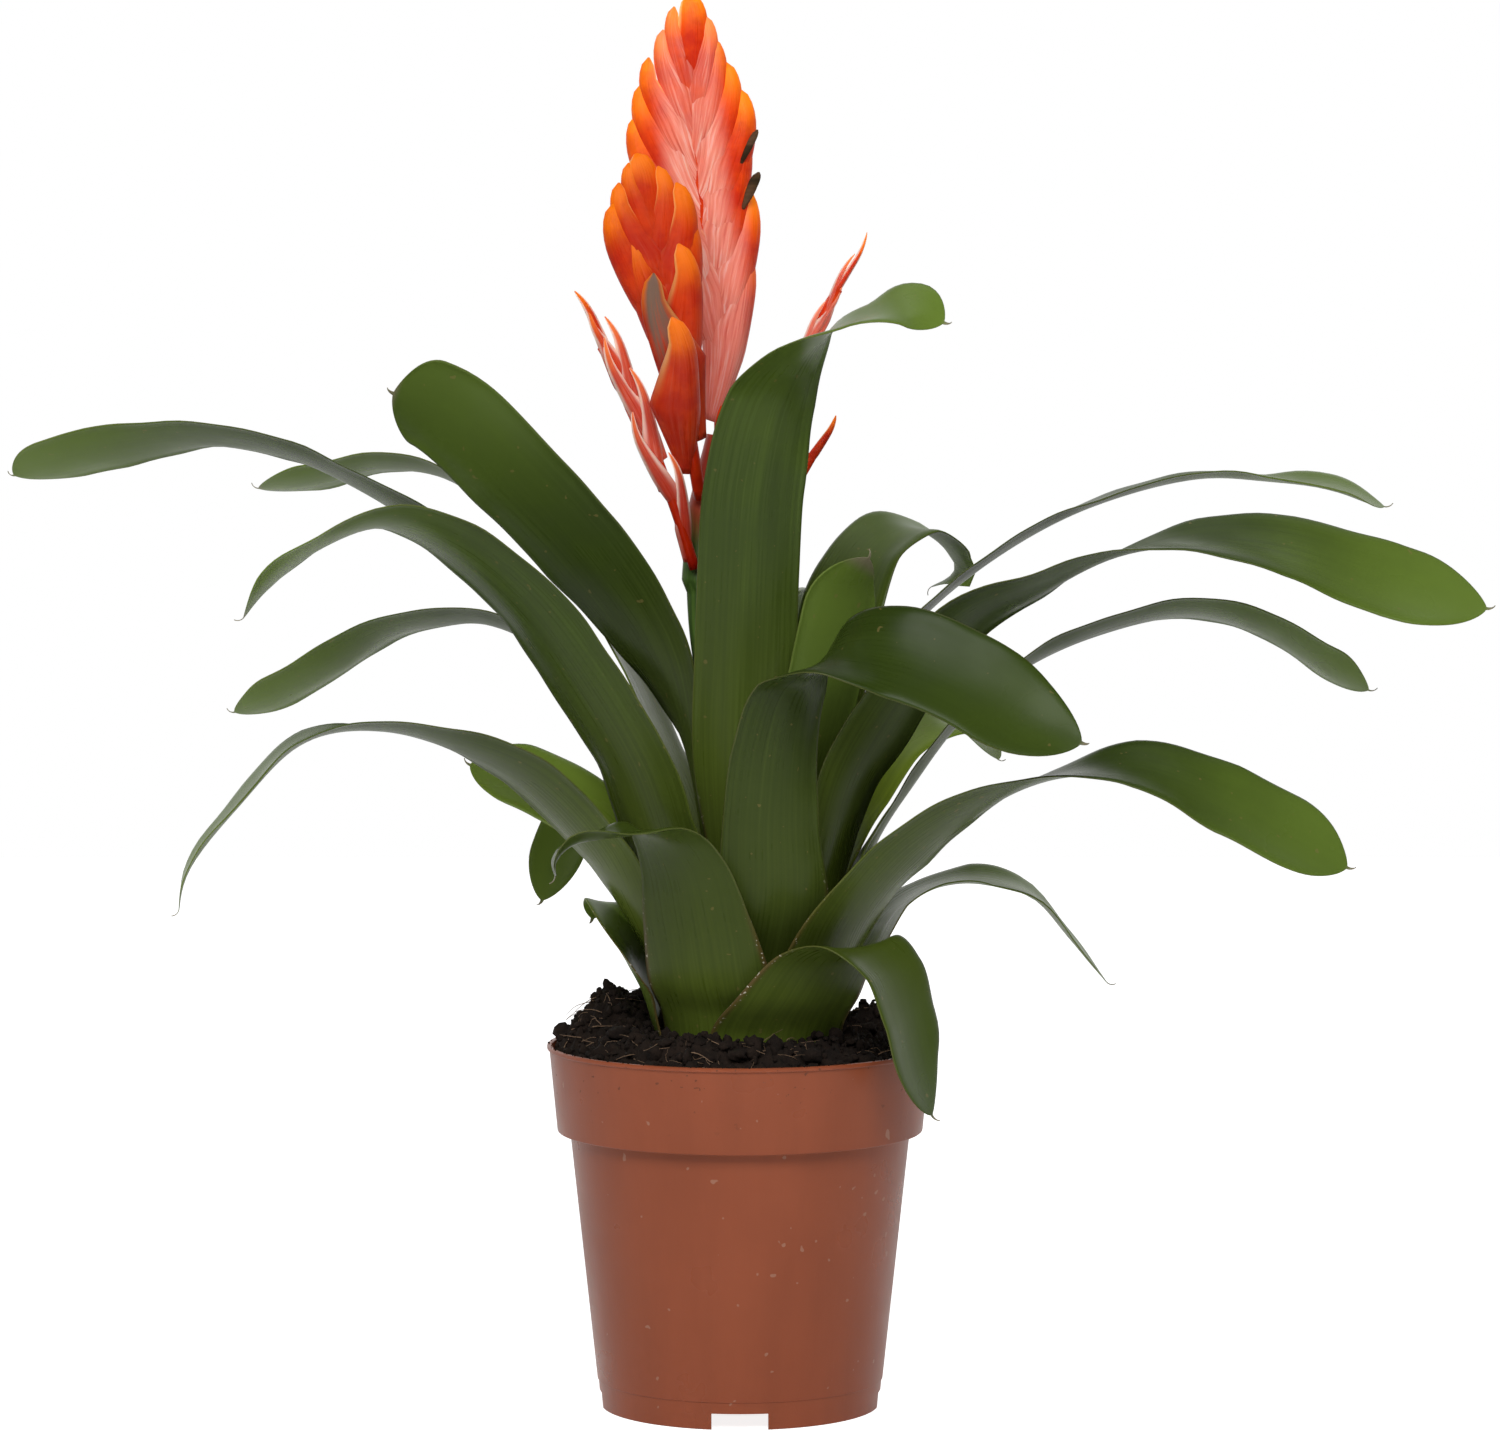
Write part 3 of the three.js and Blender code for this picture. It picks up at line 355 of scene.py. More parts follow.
def smooth(x):
    x = np.clip(x, 0.0, 1.0)
    return x * x * (3.0 - 2.0 * x)


def unit(v):
    return v / np.linalg.norm(v, axis=-1, keepdims=True)


def spline(points, u):
    """Points at the shares u along a centripetal Catmull-Rom line."""
    points = np.asarray(points, float)
    ends = np.vstack([2 * points[0] - points[1], points, 2 * points[-1] - points[-2]])
    place = np.clip(u, 0.0, 1.0) * (len(points) - 1)
    i = np.minimum(place.astype(int), len(points) - 2)
    w = (place - i)[:, None]
    p0, p1, p2, p3 = ends[i], ends[i + 1], ends[i + 2], ends[i + 3]
    d0, d1, d2 = (np.sqrt(np.linalg.norm(b - a, axis=1))[:, None] for a, b in ((p0, p1), (p1, p2), (p2, p3)))
    t1 = ((p1 - p0) / d0 - (p2 - p0) / (d0 + d1) + (p2 - p1) / d1) * d1
    t2 = ((p2 - p1) / d1 - (p3 - p1) / (d1 + d2) + (p3 - p2) / d2) * d1
    return p1 + t1 * w + (3 * (p2 - p1) - 2 * t1 - t2) * w**2 + (2 * (p1 - p2) + t1 + t2) * w**3


def tangents(points, u):
    near = np.clip(u - 1e-4, 0.0, 1.0)
    far = np.clip(u + 1e-4, 0.0, 1.0)
    return unit(spline(points, far) - spline(points, near))


class Line:
    """A smooth line through points, walked by its own length."""

    def __init__(self, points):
        self.points = np.asarray(points, float)
        self.shares = np.linspace(0.0, 1.0, 401)
        walk = spline(self.points, self.shares)
        self.lengths = np.concatenate([[0.0], np.cumsum(np.linalg.norm(np.diff(walk, axis=0), axis=1))])
        self.length = self.lengths[-1]

    def share(self, distance):
        return np.interp(distance, self.lengths, self.shares)

    def at(self, share_of_length):
        u = self.share(np.atleast_1d(share_of_length) * self.length)
        return spline(self.points, u)[0], tangents(self.points, u)[0]


def turns(sides):
    """The turn of each side of a round section."""
    return np.arange(sides) * 2 * math.pi / sides


def grid_faces(rows, columns, wrap=False, flip=False, start=0):
    """Quads between the rows of a grid of points."""
    last = columns if wrap else columns - 1
    row, column = np.meshgrid(np.arange(rows - 1), np.arange(last), indexing="ij")
    row, column = row.ravel() * columns, column.ravel()
    following = (column + 1) % columns
    ahead = row + columns
    quads = np.stack([row + column, ahead + column, ahead + following, row + following], axis=1)
    if flip:
        quads = quads[:, ::-1]
    return quads + start


def tube_faces(rows, columns, start=0):
    """Faces of a closed tube whose rings turn to the right round its direction."""
    faces = grid_faces(rows, columns, wrap=True, flip=True, start=start).tolist()
    faces.append([start + i for i in range(columns)][::-1])
    faces.append([start + (rows - 1) * columns + i for i in range(columns)])
    return faces


def make_object(name, points, faces, material=None, node=None, marks=None):
    """Makes one smooth piece from points in millimetres; given a node, hangs it on the root body and hides
    the measured part it stands in for.
    """
    mesh = bpy.data.meshes.new(name)
    mesh.from_pydata((np.asarray(points, float) * MM).tolist(), [], [list(f) for f in faces])
    for mark, values in (marks or {}).items():
        layer = mesh.attributes.new(mark, "FLOAT", "POINT")
        layer.data.foreach_set("value", np.asarray(values, np.float32))
    if material:
        mesh.materials.append(material)
    mesh.shade_smooth()
    mesh.update()
    piece = bpy.data.objects.new(name, mesh)
    bpy.context.scene.collection.objects.link(piece)
    if node:
        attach(piece, "root")
        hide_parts(node)
    return piece


# Shader nodes

def add_node(tree, kind, settings=None, **inputs):
    """Adds a node; an input takes a number, a colour or another node's output."""
    node = tree.nodes.new(kind)
    for key, value in (settings or {}).items():
        setattr(node, key, value)
    for key, value in inputs.items():
        set_input(tree, node.inputs[key.replace("_", " ")], value)
    return node


def set_input(tree, socket, value):
    if isinstance(value, bpy.types.NodeSocket):
        tree.links.new(value, socket)
    elif hasattr(value, "__len__") and len(value) == 3 and socket.type == "RGBA":
        socket.default_value = (*value, 1.0)
    else:
        socket.default_value = value


def read_marks(tree, *names):
    """Outputs that give the marks a mesh carries at its points."""
    return [add_node(tree, "ShaderNodeAttribute", {"attribute_name": name}).outputs["Fac"] for name in names]


def calc(tree, operation, *values, clamp=False):
    node = add_node(tree, "ShaderNodeMath", {"operation": operation, "use_clamp": clamp})
    for socket, value in zip(node.inputs, values):
        set_input(tree, socket, value)
    return node.outputs[0]


def times(tree, first, second):
    return calc(tree, "MULTIPLY", first, second)


def plus(tree, first, second, clamp=False):
    return calc(tree, "ADD", first, second, clamp=clamp)


def span(tree, value, low, high, to_low=0.0, to_high=1.0):
    """Stretches low..high of a value over to_low..to_high, and holds it there."""
    node = add_node(tree, "ShaderNodeMapRange", {"interpolation_type": "SMOOTHSTEP"}, Value=value)
    for key, number in zip(("From Min", "From Max", "To Min", "To Max"), (low, high, to_low, to_high)):
        node.inputs[key].default_value = number
    return node.outputs["Result"]


def tint(tree, share, first, second, mode="MIX"):
    """Goes from the first colour to the second as share goes from 0 to 1."""
    node = add_node(tree, "ShaderNodeMix", {"data_type": "RGBA", "blend_type": mode})
    for socket, value in zip(MIX_COLOUR_SOCKETS, (share, first, second)):
        set_input(tree, node.inputs[socket], value)
    return node.outputs[MIX_COLOUR_RESULT]


def toned(colour, share):
    return tuple(share * c for c in colour)


def solid_place(tree):
    """Places in the piece itself, in metres."""
    return add_node(tree, "ShaderNodeTexCoord").outputs["Object"]


def height_of(tree, place):
    return add_node(tree, "ShaderNodeSeparateXYZ", Vector=place).outputs["Z"]


def drawn_up(tree, place, share):
    """Places in which noise is drawn out upward."""
    node = add_node(tree, "ShaderNodeMapping", Vector=place)
    node.inputs["Scale"].default_value = (1.0, 1.0, share)
    return node.outputs["Vector"]


def drawn_along(tree, across, along, seed, stretch):
    """Places in which noise is drawn out along the growth direction."""
    return add_node(tree, "ShaderNodeCombineXYZ", X=across, Y=times(tree, along, stretch), Z=seed).outputs[0]


def grain(tree, vector, scale, detail=3.0, roughness=0.55):
    node = add_node(tree, "ShaderNodeTexNoise", Vector=vector, Scale=scale, Detail=detail,
                    Roughness=roughness)
    return node.outputs["Fac"]


def new_material(name):
    material = bpy.data.materials.new(name)
    material.use_nodes = True
    tree = material.node_tree
    return material, tree, tree.nodes["Principled BSDF"]


def dress(tree, shader, colour, roughness, specular=None, relief=None):
    """Sets a finish; relief is a height, how strong it shows and its depth in metres."""
    set_input(tree, shader.inputs["Base Color"], colour)
    set_input(tree, shader.inputs["Roughness"], roughness)
    if specular is not None:
        shader.inputs["Specular IOR Level"].default_value = specular
    if relief:
        height, strength, depth = relief
        bump = add_node(tree, "ShaderNodeBump", Height=height, Strength=strength, Distance=depth)
        set_input(tree, shader.inputs["Normal"], bump.outputs["Normal"])


def leaf_colours(tree, settings, fine, broad, cloudy):
    """Green of both faces, with the sheath, the painted shade on some leaves, the tip with its partly painted
    glow and the margins; then where a sheath is scarred.
    """
    along, seed, edge, from_tip = read_marks(tree, "along", "seed", "edge", "from_tip")
    inner, fresh, dull, shaded, dry = read_marks(tree, "inner", "fresh", "dull", "shade", "dry")
    own = grain(tree, drawn_along(tree, 0.0, 0.0, times(tree, seed, 3.7), 1.0), 1.0, 1.0, 0.4)
    green = tint(tree, span(tree, broad, 0.3, 0.72, 0.3, 0.85), settings.deep_green, settings.mid_green)
    for share in (
        span(tree, own, 0.35, 0.65, 0.0, 0.3),
        span(tree, cloudy, 0.35, 0.65, 0.0, 0.4),
        span(tree, edge, 0.4, 1.0, 0.0, 0.35),
    ):
        green = tint(tree, share, green, settings.deep_green)
    sheath = span(tree, along, 0.15, 0.02, 0.0, 0.85)
    sheath = times(tree, sheath, span(tree, cloudy, 0.25, 0.6, 0.6, 1.0))
    green = tint(tree, sheath, green, settings.sheath_green)
    lit = times(tree, fresh, span(tree, broad, 0.3, 0.7, 0.7, 1.0))
    green = tint(tree, lit, green, settings.fresh_green)
    shade = times(tree, shaded, span(tree, along, 0.012, 0.045, 0.1, 1.0))
    green = tint(tree, shade, green, LEAF_SHADE)
    haze = times(tree, calc(tree, "SUBTRACT", 1.0, inner), span(tree, cloudy, 0.3, 0.7, 0.1, 0.3))
    green = tint(tree, plus(tree, haze, dull, clamp=True), green, settings.under_green)
    # The last stretch before the tip turns lighter green: partly the leaf's own colour, partly a painted glow
    # of backlight through the thin tip; much less on leaves with painted shade.
    tip_tint_and_glow = span(tree, plus(tree, from_tip, times(tree, cloudy, 0.03)), 0.11, 0.015, 0.0, 0.8)
    tip_tint_and_glow = times(tree, tip_tint_and_glow, span(tree, shade, 0.05, 0.35, 1.0, 0.2))
    green = tint(tree, tip_tint_and_glow, green, settings.tip_green)
    green = tint(tree, span(tree, fine, 0.35, 0.65, 0.2, 0.0), green, LEAF_DARK_LINE)
    green = tint(tree, span(tree, fine, 0.6, 0.8, 0.0, 0.12), green, LEAF_LIGHT_LINE)
    margin = times(tree, span(tree, edge, 0.97, 0.996), span(tree, cloudy, 0.3, 0.6, 0.05, 0.3))
    green = tint(tree, margin, green, LEAF_MARGIN)
    scar = times(tree, span(tree, edge, 0.88, 0.985), span(tree, along, 0.062, 0.035))
    brown = times(tree, scar, span(tree, cloudy, 0.35, 0.55, 0.2, 0.75))
    green = tint(tree, brown, green, LEAF_SCAR)
    scorch = span(tree, calc(tree, "DIVIDE", from_tip, dry), 1.0, 0.35, 0.0, 0.85)
    return tint(tree, scorch, green, LEAF_SCORCH), scar


def make_leaf_material(settings):
    """Waxy green with fine lines along the blade, small flecks and lime specks in the scars."""
    material, tree, shader = new_material("waxy_leaf")
    across, along, seed, from_tip = read_marks(tree, "across", "along", "seed", "from_tip")
    place = solid_place(tree)
    fine = grain(tree, drawn_along(tree, across, along, seed, 0.015), 1000.0, 1.0, 0.5)
    away = span(tree, from_tip, 0.03, 0.1)
    fine = plus(tree, times(tree, calc(tree, "SUBTRACT", fine, 0.5), away), 0.5)
    broad = grain(tree, drawn_along(tree, across, along, seed, 0.05), 150.0, 2.0, 0.5)
    cloudy = grain(tree, place, 26.0, 4.0, 0.6)
    green, scar = leaf_colours(tree, settings, fine, broad, cloudy)
    fleck = grain(tree, place, 420.0, 1.0, 0.4)
    green = tint(tree, span(tree, fleck, 0.75, 0.77, 0.0, 0.4), green, LEAF_FLECK)
    lime = times(tree, span(tree, grain(tree, place, 900.0, 1.0, 0.4), 0.66, 0.7), scar)
    green = tint(tree, lime, green, LEAF_LIME)
    rough = plus(tree, span(tree, fine, 0.3, 0.7, 0.22, 0.3), span(tree, cloudy, 0.35, 0.7, 0.0, 0.12))
    dress(tree, shader, green, rough, specular=0.13, relief=(broad, 0.22, 0.0004))
    return material


# Leaves

def leaf_line(leaf, order):
    """The middle line of a leaf, its sheath first, with roll and facing marks along it."""
    bearing = math.radians(leaf["base"])
    lean = math.tan(math.radians(lerp(RING_LEAN_OUTER, RING_LEAN_INNER, order / (len(LEAVES) - 1))))
    radius = RING_OUTER_RADIUS - RING_STEP * order
    foot = RING_FOOT_Z + RING_RISE * order
    points = []
    for rise in (0.0, RING_HEIGHT):
        r = radius + rise * lean
        points.append((r * math.cos(bearing), r * math.sin(bearing), foot + rise))
    path = leaf["path"]
    points += [p[:3] for p in path]
    chord = math.degrees(math.atan2(path[-1][1] - path[0][1], path[-1][0] - path[0][0]))
    own = leaf["base"] + (chord - leaf["base"] + 180.0) % 360.0 - 180.0
    rolls = [0.0, 0.0] + [p[3] for p in path]
    facings = [leaf["base"]] * 2 + [p[4] if len(p) > 4 else own for p in path]
    return Line(points), np.radians(rolls), np.radians(np.array(facings) + 90.0)


def leaf_distances(end, tip_length, rows):
    """Distances of the rows from the foot of a leaf, closer together along its rounded end."""
    body = np.linspace(0.0, end - tip_length, rows - TIP_ROWS, endpoint=False)
    tip = end - tip_length * (1.0 - np.sin(np.linspace(0.0, math.pi / 2, TIP_ROWS)))
    return np.concatenate([body, tip])


def leaf_frame(line, rolls, facings, s):
    """Centre, direction, across, inward and bend of the blade at the distances s."""
    u = line.share(s)
    centre, along = spline(line.points, u), tangents(line.points, u)
    place = u * (len(rolls) - 1)
    i = np.minimum(place.astype(int), len(rolls) - 2)
    roll = lerp(rolls[i], rolls[i + 1], place - i)[:, None]
    facing = lerp(facings[i], facings[i + 1], place - i)
    free = smooth((s - RING_HEIGHT) / SHEATH_FADE)[:, None]
    radius = np.hypot(centre[:, 0], centre[:, 1])[:, None]
    out = centre * (1.0, 1.0, 0.0) / radius
    ring_side = np.cross((0.0, 0.0, 1.0), out)
    flat = np.stack([np.cos(facing), np.sin(facing), np.zeros_like(facing)], axis=1)
    flat = unit(flat - along * np.sum(flat * along, axis=1, keepdims=True))
    flat = flat * np.cos(roll) + np.cross(along, flat) * np.sin(roll)
    side = unit(lerp(ring_side, flat, free))
    inward = unit(lerp(-out, np.cross(along, flat), free))
    bend = 1.0 / lerp(1.0 / radius, 1.0 / CHANNEL_RADIUS, free)
    return centre, along, side, inward, bend, free, radius


def leaf_sheet(leaf, order, settings, rng):
    """The grid of points in the middle of a leaf's thickness, with its hooked tip."""
    line, rolls, facings = leaf_line(leaf, order)
    end = line.length - HOOK_LENGTH
    tip_length = leaf.get("tip", TIP_LENGTH)
    s = leaf_distances(end, tip_length, settings.rows)
    centre, along, side, inward, bend, free, radius = leaf_frame(line, rolls, facings, s)
    wrap = 2.0 * radius[:, 0] * math.radians(leaf.get("wrap", SHEATH_WRAP))
    sheath = np.minimum(SHEATH_WIDTH, wrap)
    body = lerp(sheath, leaf.get("width", LEAF_WIDTH), smooth(s / SHEATH_FADE))
    rounding = np.clip((end - s) / tip_length, 0.0, 1.0)
    width = np.maximum(TIP_WIDTH, body * (1.0 - (1.0 - rounding) ** TIP_ROUND) ** TIP_TAPER)
    c = np.linspace(-1.0, 1.0, settings.columns + 1)
    c = np.sin(c * math.pi / 2 * COLUMN_CROWD) / math.sin(math.pi / 2 * COLUMN_CROWD)
    angle = (width / 2.0)[:, None] / bend * c
    across = bend * np.sin(angle)
    rolled = (np.clip(np.abs(c) - (1.0 - MARGIN_BAND), 0.0, MARGIN_BAND) / MARGIN_BAND) ** 2
    lift = bend * (1.0 - np.cos(angle)) - MARGIN_ROLL * free * rolled * rounding[:, None]
    waves = np.zeros((len(s), 2))
    for length in WAVE_LENGTHS:
        phase = rng.uniform(0.0, 2 * math.pi, 2)
        waves += np.sin(2 * math.pi * s[:, None] / length + phase) * length / WAVE_LENGTHS[-1]
    side_wave = np.where(c < 0, waves[:, :1], waves[:, 1:])
    ripple = settings.ripple * side_wave * np.abs(c) ** 3 * free * (width / LEAF_WIDTH)[:, None]
    grid = centre[:, None] + side[:, None] * across[..., None] + inward[:, None] * (lift + ripple)[..., None]
    centre_end, rows = centre[-1], [grid]
    hook_shares = np.arange(1, HOOK_STEPS + 1) / HOOK_STEPS
    for share in hook_shares:
        turn = math.radians(HOOK_TURN * share)
        ahead = along[-1] * math.cos(turn) + inward[-1] * math.sin(turn)
        centre_end = centre_end + ahead * HOOK_LENGTH / (HOOK_STEPS - 1)
        half = lerp(*HOOK_HALF_WIDTHS, share)
        rows.append((centre_end + side[-1] * (half * c)[:, None])[None])
    s = np.concatenate([s, end + HOOK_LENGTH * hook_shares])
    width = np.concatenate([width, np.linspace(*HOOK_MARK_WIDTHS, HOOK_STEPS)])
    return np.vstack(rows), s, c, width, end


def thicken(grid, half):
    """Moves a grid of points by half to both sides of its own surface."""
    along = np.gradient(grid, axis=0)
    across = np.gradient(grid, axis=1)
    normal = unit(np.cross(along, across)) * half[..., None]
    return grid + normal, grid - normal


def make_leaf(leaf, order, settings, material):
    """Both faces and the margins of a leaf, with the marks that its colours go by."""
    rng = np.random.default_rng(LEAF_SEED + order)
    grid, s, c, width, end = leaf_sheet(leaf, order, settings, rng)
    rows, columns = grid.shape[:2]
    fade = np.clip((end - s) / THIN_TIP, 0.35, 1.0)[:, None]
    half = LEAF_THICKNESS / 2 * (1.0 - THIN_EDGE * np.abs(c) ** 4)[None] * fade
    upper, lower = thicken(grid, half)
    points = np.vstack([upper.reshape(-1, 3), lower.reshape(-1, 3)]) + (PLANT_X, 0.0, 0.0)
    shift = rows * columns
    faces = grid_faces(rows, columns).tolist() + grid_faces(rows, columns, flip=True, start=shift).tolist()
    for i in range(columns - 1):
        faces.append((i, i + 1, i + 1 + shift, i + shift))
        j = (rows - 1) * columns + i
        faces.append((j + 1, j, j + shift, j + 1 + shift))
    for r in range(rows - 1):
        i, j = r * columns, (r + 1) * columns
        faces.append((j, i, i + shift, j + shift))
        i, j = i + columns - 1, j + columns - 1
        faces.append((i, j, j + shift, i + shift))
    grown = dict(
        along=s[:, None] * MM,
        across=(width / 2.0)[:, None] * c * MM,
        edge=np.abs(c),
        from_tip=np.maximum(end + HOOK_LENGTH - s, 0.0)[:, None] * MM,
        seed=order * 0.37,
        dry=leaf.get("dry", DRY_TIP) * MM,
    )
    for key in ("fresh", "dull", "shade"):
        grown[key] = leaf.get(key, 0.0)
    one = np.ones((rows, columns))
    marks = {key: np.tile((value * one).ravel(), 2) for key, value in grown.items()}
    marks["inner"] = np.repeat([1.0, 0.0], shift)
    return make_object(leaf["name"] + "_blade", points, faces, material, leaf["name"], marks)


# Flower stalk and spikes

def ring_of(sides, centre, side, front, radius):
    a = turns(sides)
    return centre + radius * (np.cos(a)[:, None] * side + np.sin(a)[:, None] * front)


def make_stalk(material):
    """The stalk, swollen where its stem bracts clasp it."""
    shares = np.linspace(0.0, 1.0, STALK_RINGS)
    girth = np.interp(shares, *np.array(STALK_GIRTH, float).T)
    centres, along = spline(STALK_PATH, shares), tangents(STALK_PATH, shares)
    side = unit(X_AXIS - along * along[:, :1])
    front = np.cross(along, side)
    rings = [ring_of(STALK_SIDES, *ring) for ring in zip(centres, side, front, girth)]
    points = np.vstack(rings) + (PLANT_X, 0.0, 0.0)
    return make_object("flower_stalk_skin", points, tube_faces(STALK_RINGS, STALK_SIDES), material,
                       "flower_stalk", dict(along=np.repeat(shares, STALK_SIDES)))


def between(values, q):
    foot, middle, top = values
    return lerp(foot, middle, 2 * q) if q < 0.5 else lerp(middle, top, 2 * q - 1)


def keeled_section(sides):
    """A closed section with a keel at each end, as shares of half the width and of the depth."""
    a = turns(sides)
    power = np.where(np.cos(a) > 0, KEEL_SHARPNESS, FOLD_SHARPNESS)
    wide = np.sign(np.cos(a)) * np.abs(np.cos(a)) ** power
    deep = -np.sign(np.sin(a)) * np.abs(np.sin(a)) ** power
    return wide, deep


def bract_keel(t, taper):
    """How far the keel stands out from a bract's middle line, as a share of its breadth."""
    return min(1.0, 0.4 + 1.6 * t) * math.sqrt(1.0 - t**taper)


def bract_flank(t, taper, wrap):
    """How far the flanks reach in past the middle line: furthest low down, as the keel at the tip."""
    reach = lerp(wrap, 1.0, min(max((t - FLANK_FULL) / (FLANK_END - FLANK_FULL), 0.0), 1.0))
    return min(reach, FLANK_FOOT + FLANK_RISE * t) * math.sqrt(1.0 - t**taper)


def bract_depth(t):
    """Half depth of a bract along its length, as a share of the most."""
    return min(1.0, 0.35 + 1.6 * t) * (1.0 - t**4) ** 0.8


def bract_rings(spike, shape, root, along, side, size, splay, settings, jitter):
    """Rings of a folded bract that leaves the axis outward and bends back along it."""
    face = np.cross(side, along)
    steps = settings.rows * STEPS_PER_RING
    wide, deep = keeled_section(settings.sides)
    centre = root - side * size * BRACT_CLASP
    rings, shares = [], []

    def heading(t):
        curl = BRACT_CURL * max(0.0, t - CURL_START) / (1.0 - CURL_START)
        angle = math.radians(lerp(splay, BRACT_TIP_ANGLE, t) - curl)
        return along * math.cos(angle) + side * math.sin(angle)

    for i in range(steps + 1):
        t = i / steps
        if i > 0:
            centre = centre + heading(t - 0.5 / steps) * size / steps
        if i % STEPS_PER_RING:
            continue
        outward = np.cross(heading(t), face)
        breadth = size * shape["breadth"]
        keel = breadth * max(BRACT_POINT, bract_keel(t, spike["taper"]))
        flank = breadth * max(BRACT_POINT, bract_flank(t, spike["taper"], shape["wrap"]))
        depth = size * spike["depth"] * max(BRACT_POINT, bract_depth(t))
        reach = np.where(wide > 0, keel * wide, flank * wide)
        pleat = 1.0 + PLEAT_DEPTH * np.sin(PLEAT_COUNT * wide + jitter)
        ring = centre + outward * reach[:, None] + face * (depth * deep * pleat)[:, None]
        rings.append(ring)
        shares.append(t)
    return np.array(rings), np.array(shares), wide


def floret_rings(foot, middle, tip, girth):
    """Rings of a withered floret that bends from its foot over a middle point to its tip."""
    shares = np.linspace(0.0, 1.0, FLORET_RINGS)
    uneven = np.arange(FLORET_SIDES) * 2.1
    rings = []
    for t in shares:
        centre = (1 - t) ** 2 * foot + 2 * t * (1 - t) * middle + t**2 * tip
        radius = girth * (0.15 + 1.1 * t) * (1.0 - t**3) ** 0.6 + FLORET_EDGE
        ring = ring_of(FLORET_SIDES, centre, X_AXIS, Y_AXIS * 0.55, radius)
        rings.append(ring + X_AXIS * FLORET_EDGE * np.sin(5 * t + uneven)[:, None] * girth)
    return np.array(rings), 0.7 + 0.5 * shares


def make_spike(spike, order, settings, material):
    """A spike: its own stem, two ranks of folded bracts and its withered florets."""
    rng = np.random.default_rng(SPIKE_SEED + order)
    line = Line(spike["path"])
    turn = math.radians(spike["turn"])
    flat = np.array((math.cos(turn), math.sin(turn), 0.0))
    points, faces, layers = [], [], {key: [] for key in BRACT_MARKS}

    def add(rings, share, wide, out, pink, dry, seed):
        rows, columns = rings.shape[:2]
        faces.extend(tube_faces(rows, columns, start=sum(len(p) for p in points)))
        points.append(rings.reshape(-1, 3))
        one = np.ones((rows, columns))
        for key, value in zip(BRACT_MARKS, (share[:, None], wide, out, pink, dry, seed)):
            layers[key].append((one * value).ravel())

    shares = np.linspace(0.0, STEM_END, STEM_RINGS)
    stem = []
    for share in shares:
        centre, along = line.at(share)
        side = unit(flat - along * flat.dot(along))
        stem.append(ring_of(STEM_SIDES, centre, side, np.cross(along, side), spike["stem"]))
    add(np.array(stem), shares * 0.3, 0.0, 0.0, 0.0, 0.0, 0.0)
    last = spike["count"] - 1
    for i in range(last + 1):
        apex = i == last
        centre, along = line.at(lerp(spike["start"], spike["end"], (i / last) ** BRACT_CROWD))
        side = unit(flat - along * flat.dot(along)) * (1.0 if i % 2 == 0 else -1.0)
        size = between(spike["lengths"], i / last)
        splay = APEX_SPLAY if apex else between(spike["splays"], i / last) + rng.uniform(-2.0, 2.0)
        shape = dict(breadth=spike["apex"] * spike["breadth"], wrap=1.0) if apex else spike
        jitter = rng.uniform(0, 6)
        rings, share, wide = bract_rings(spike, shape, centre, along, side, size, splay, settings, jitter)
        out = np.abs((rings - centre) @ side) * MM
        pink = spike.get("pink", 0.0) * min(1.0, PINK_FADE * (1.0 - i / last))
        add(rings, share, wide, out, pink, spike.get("dry", {}).get(i, 0.0), i * 0.61 + order)
    for foot, middle, tip, girth in spike.get("florets", ()):
        rings, share = floret_rings(np.array(foot), np.array(middle), np.array(tip), girth)
        add(rings, share, 0.0, 0.0, 0.0, 2.0, girth)
    cloud = np.vstack(points) + (PLANT_X, 0.0, 0.0)
    marks = {key: np.concatenate(values) for key, values in layers.items()}
    for key in ("pale", "deep"):
        marks[key] = np.full(len(cloud), spike.get(key, 0.0))
    return make_object(spike["name"] + "_bracts", cloud, faces, material, spike["name"], marks)


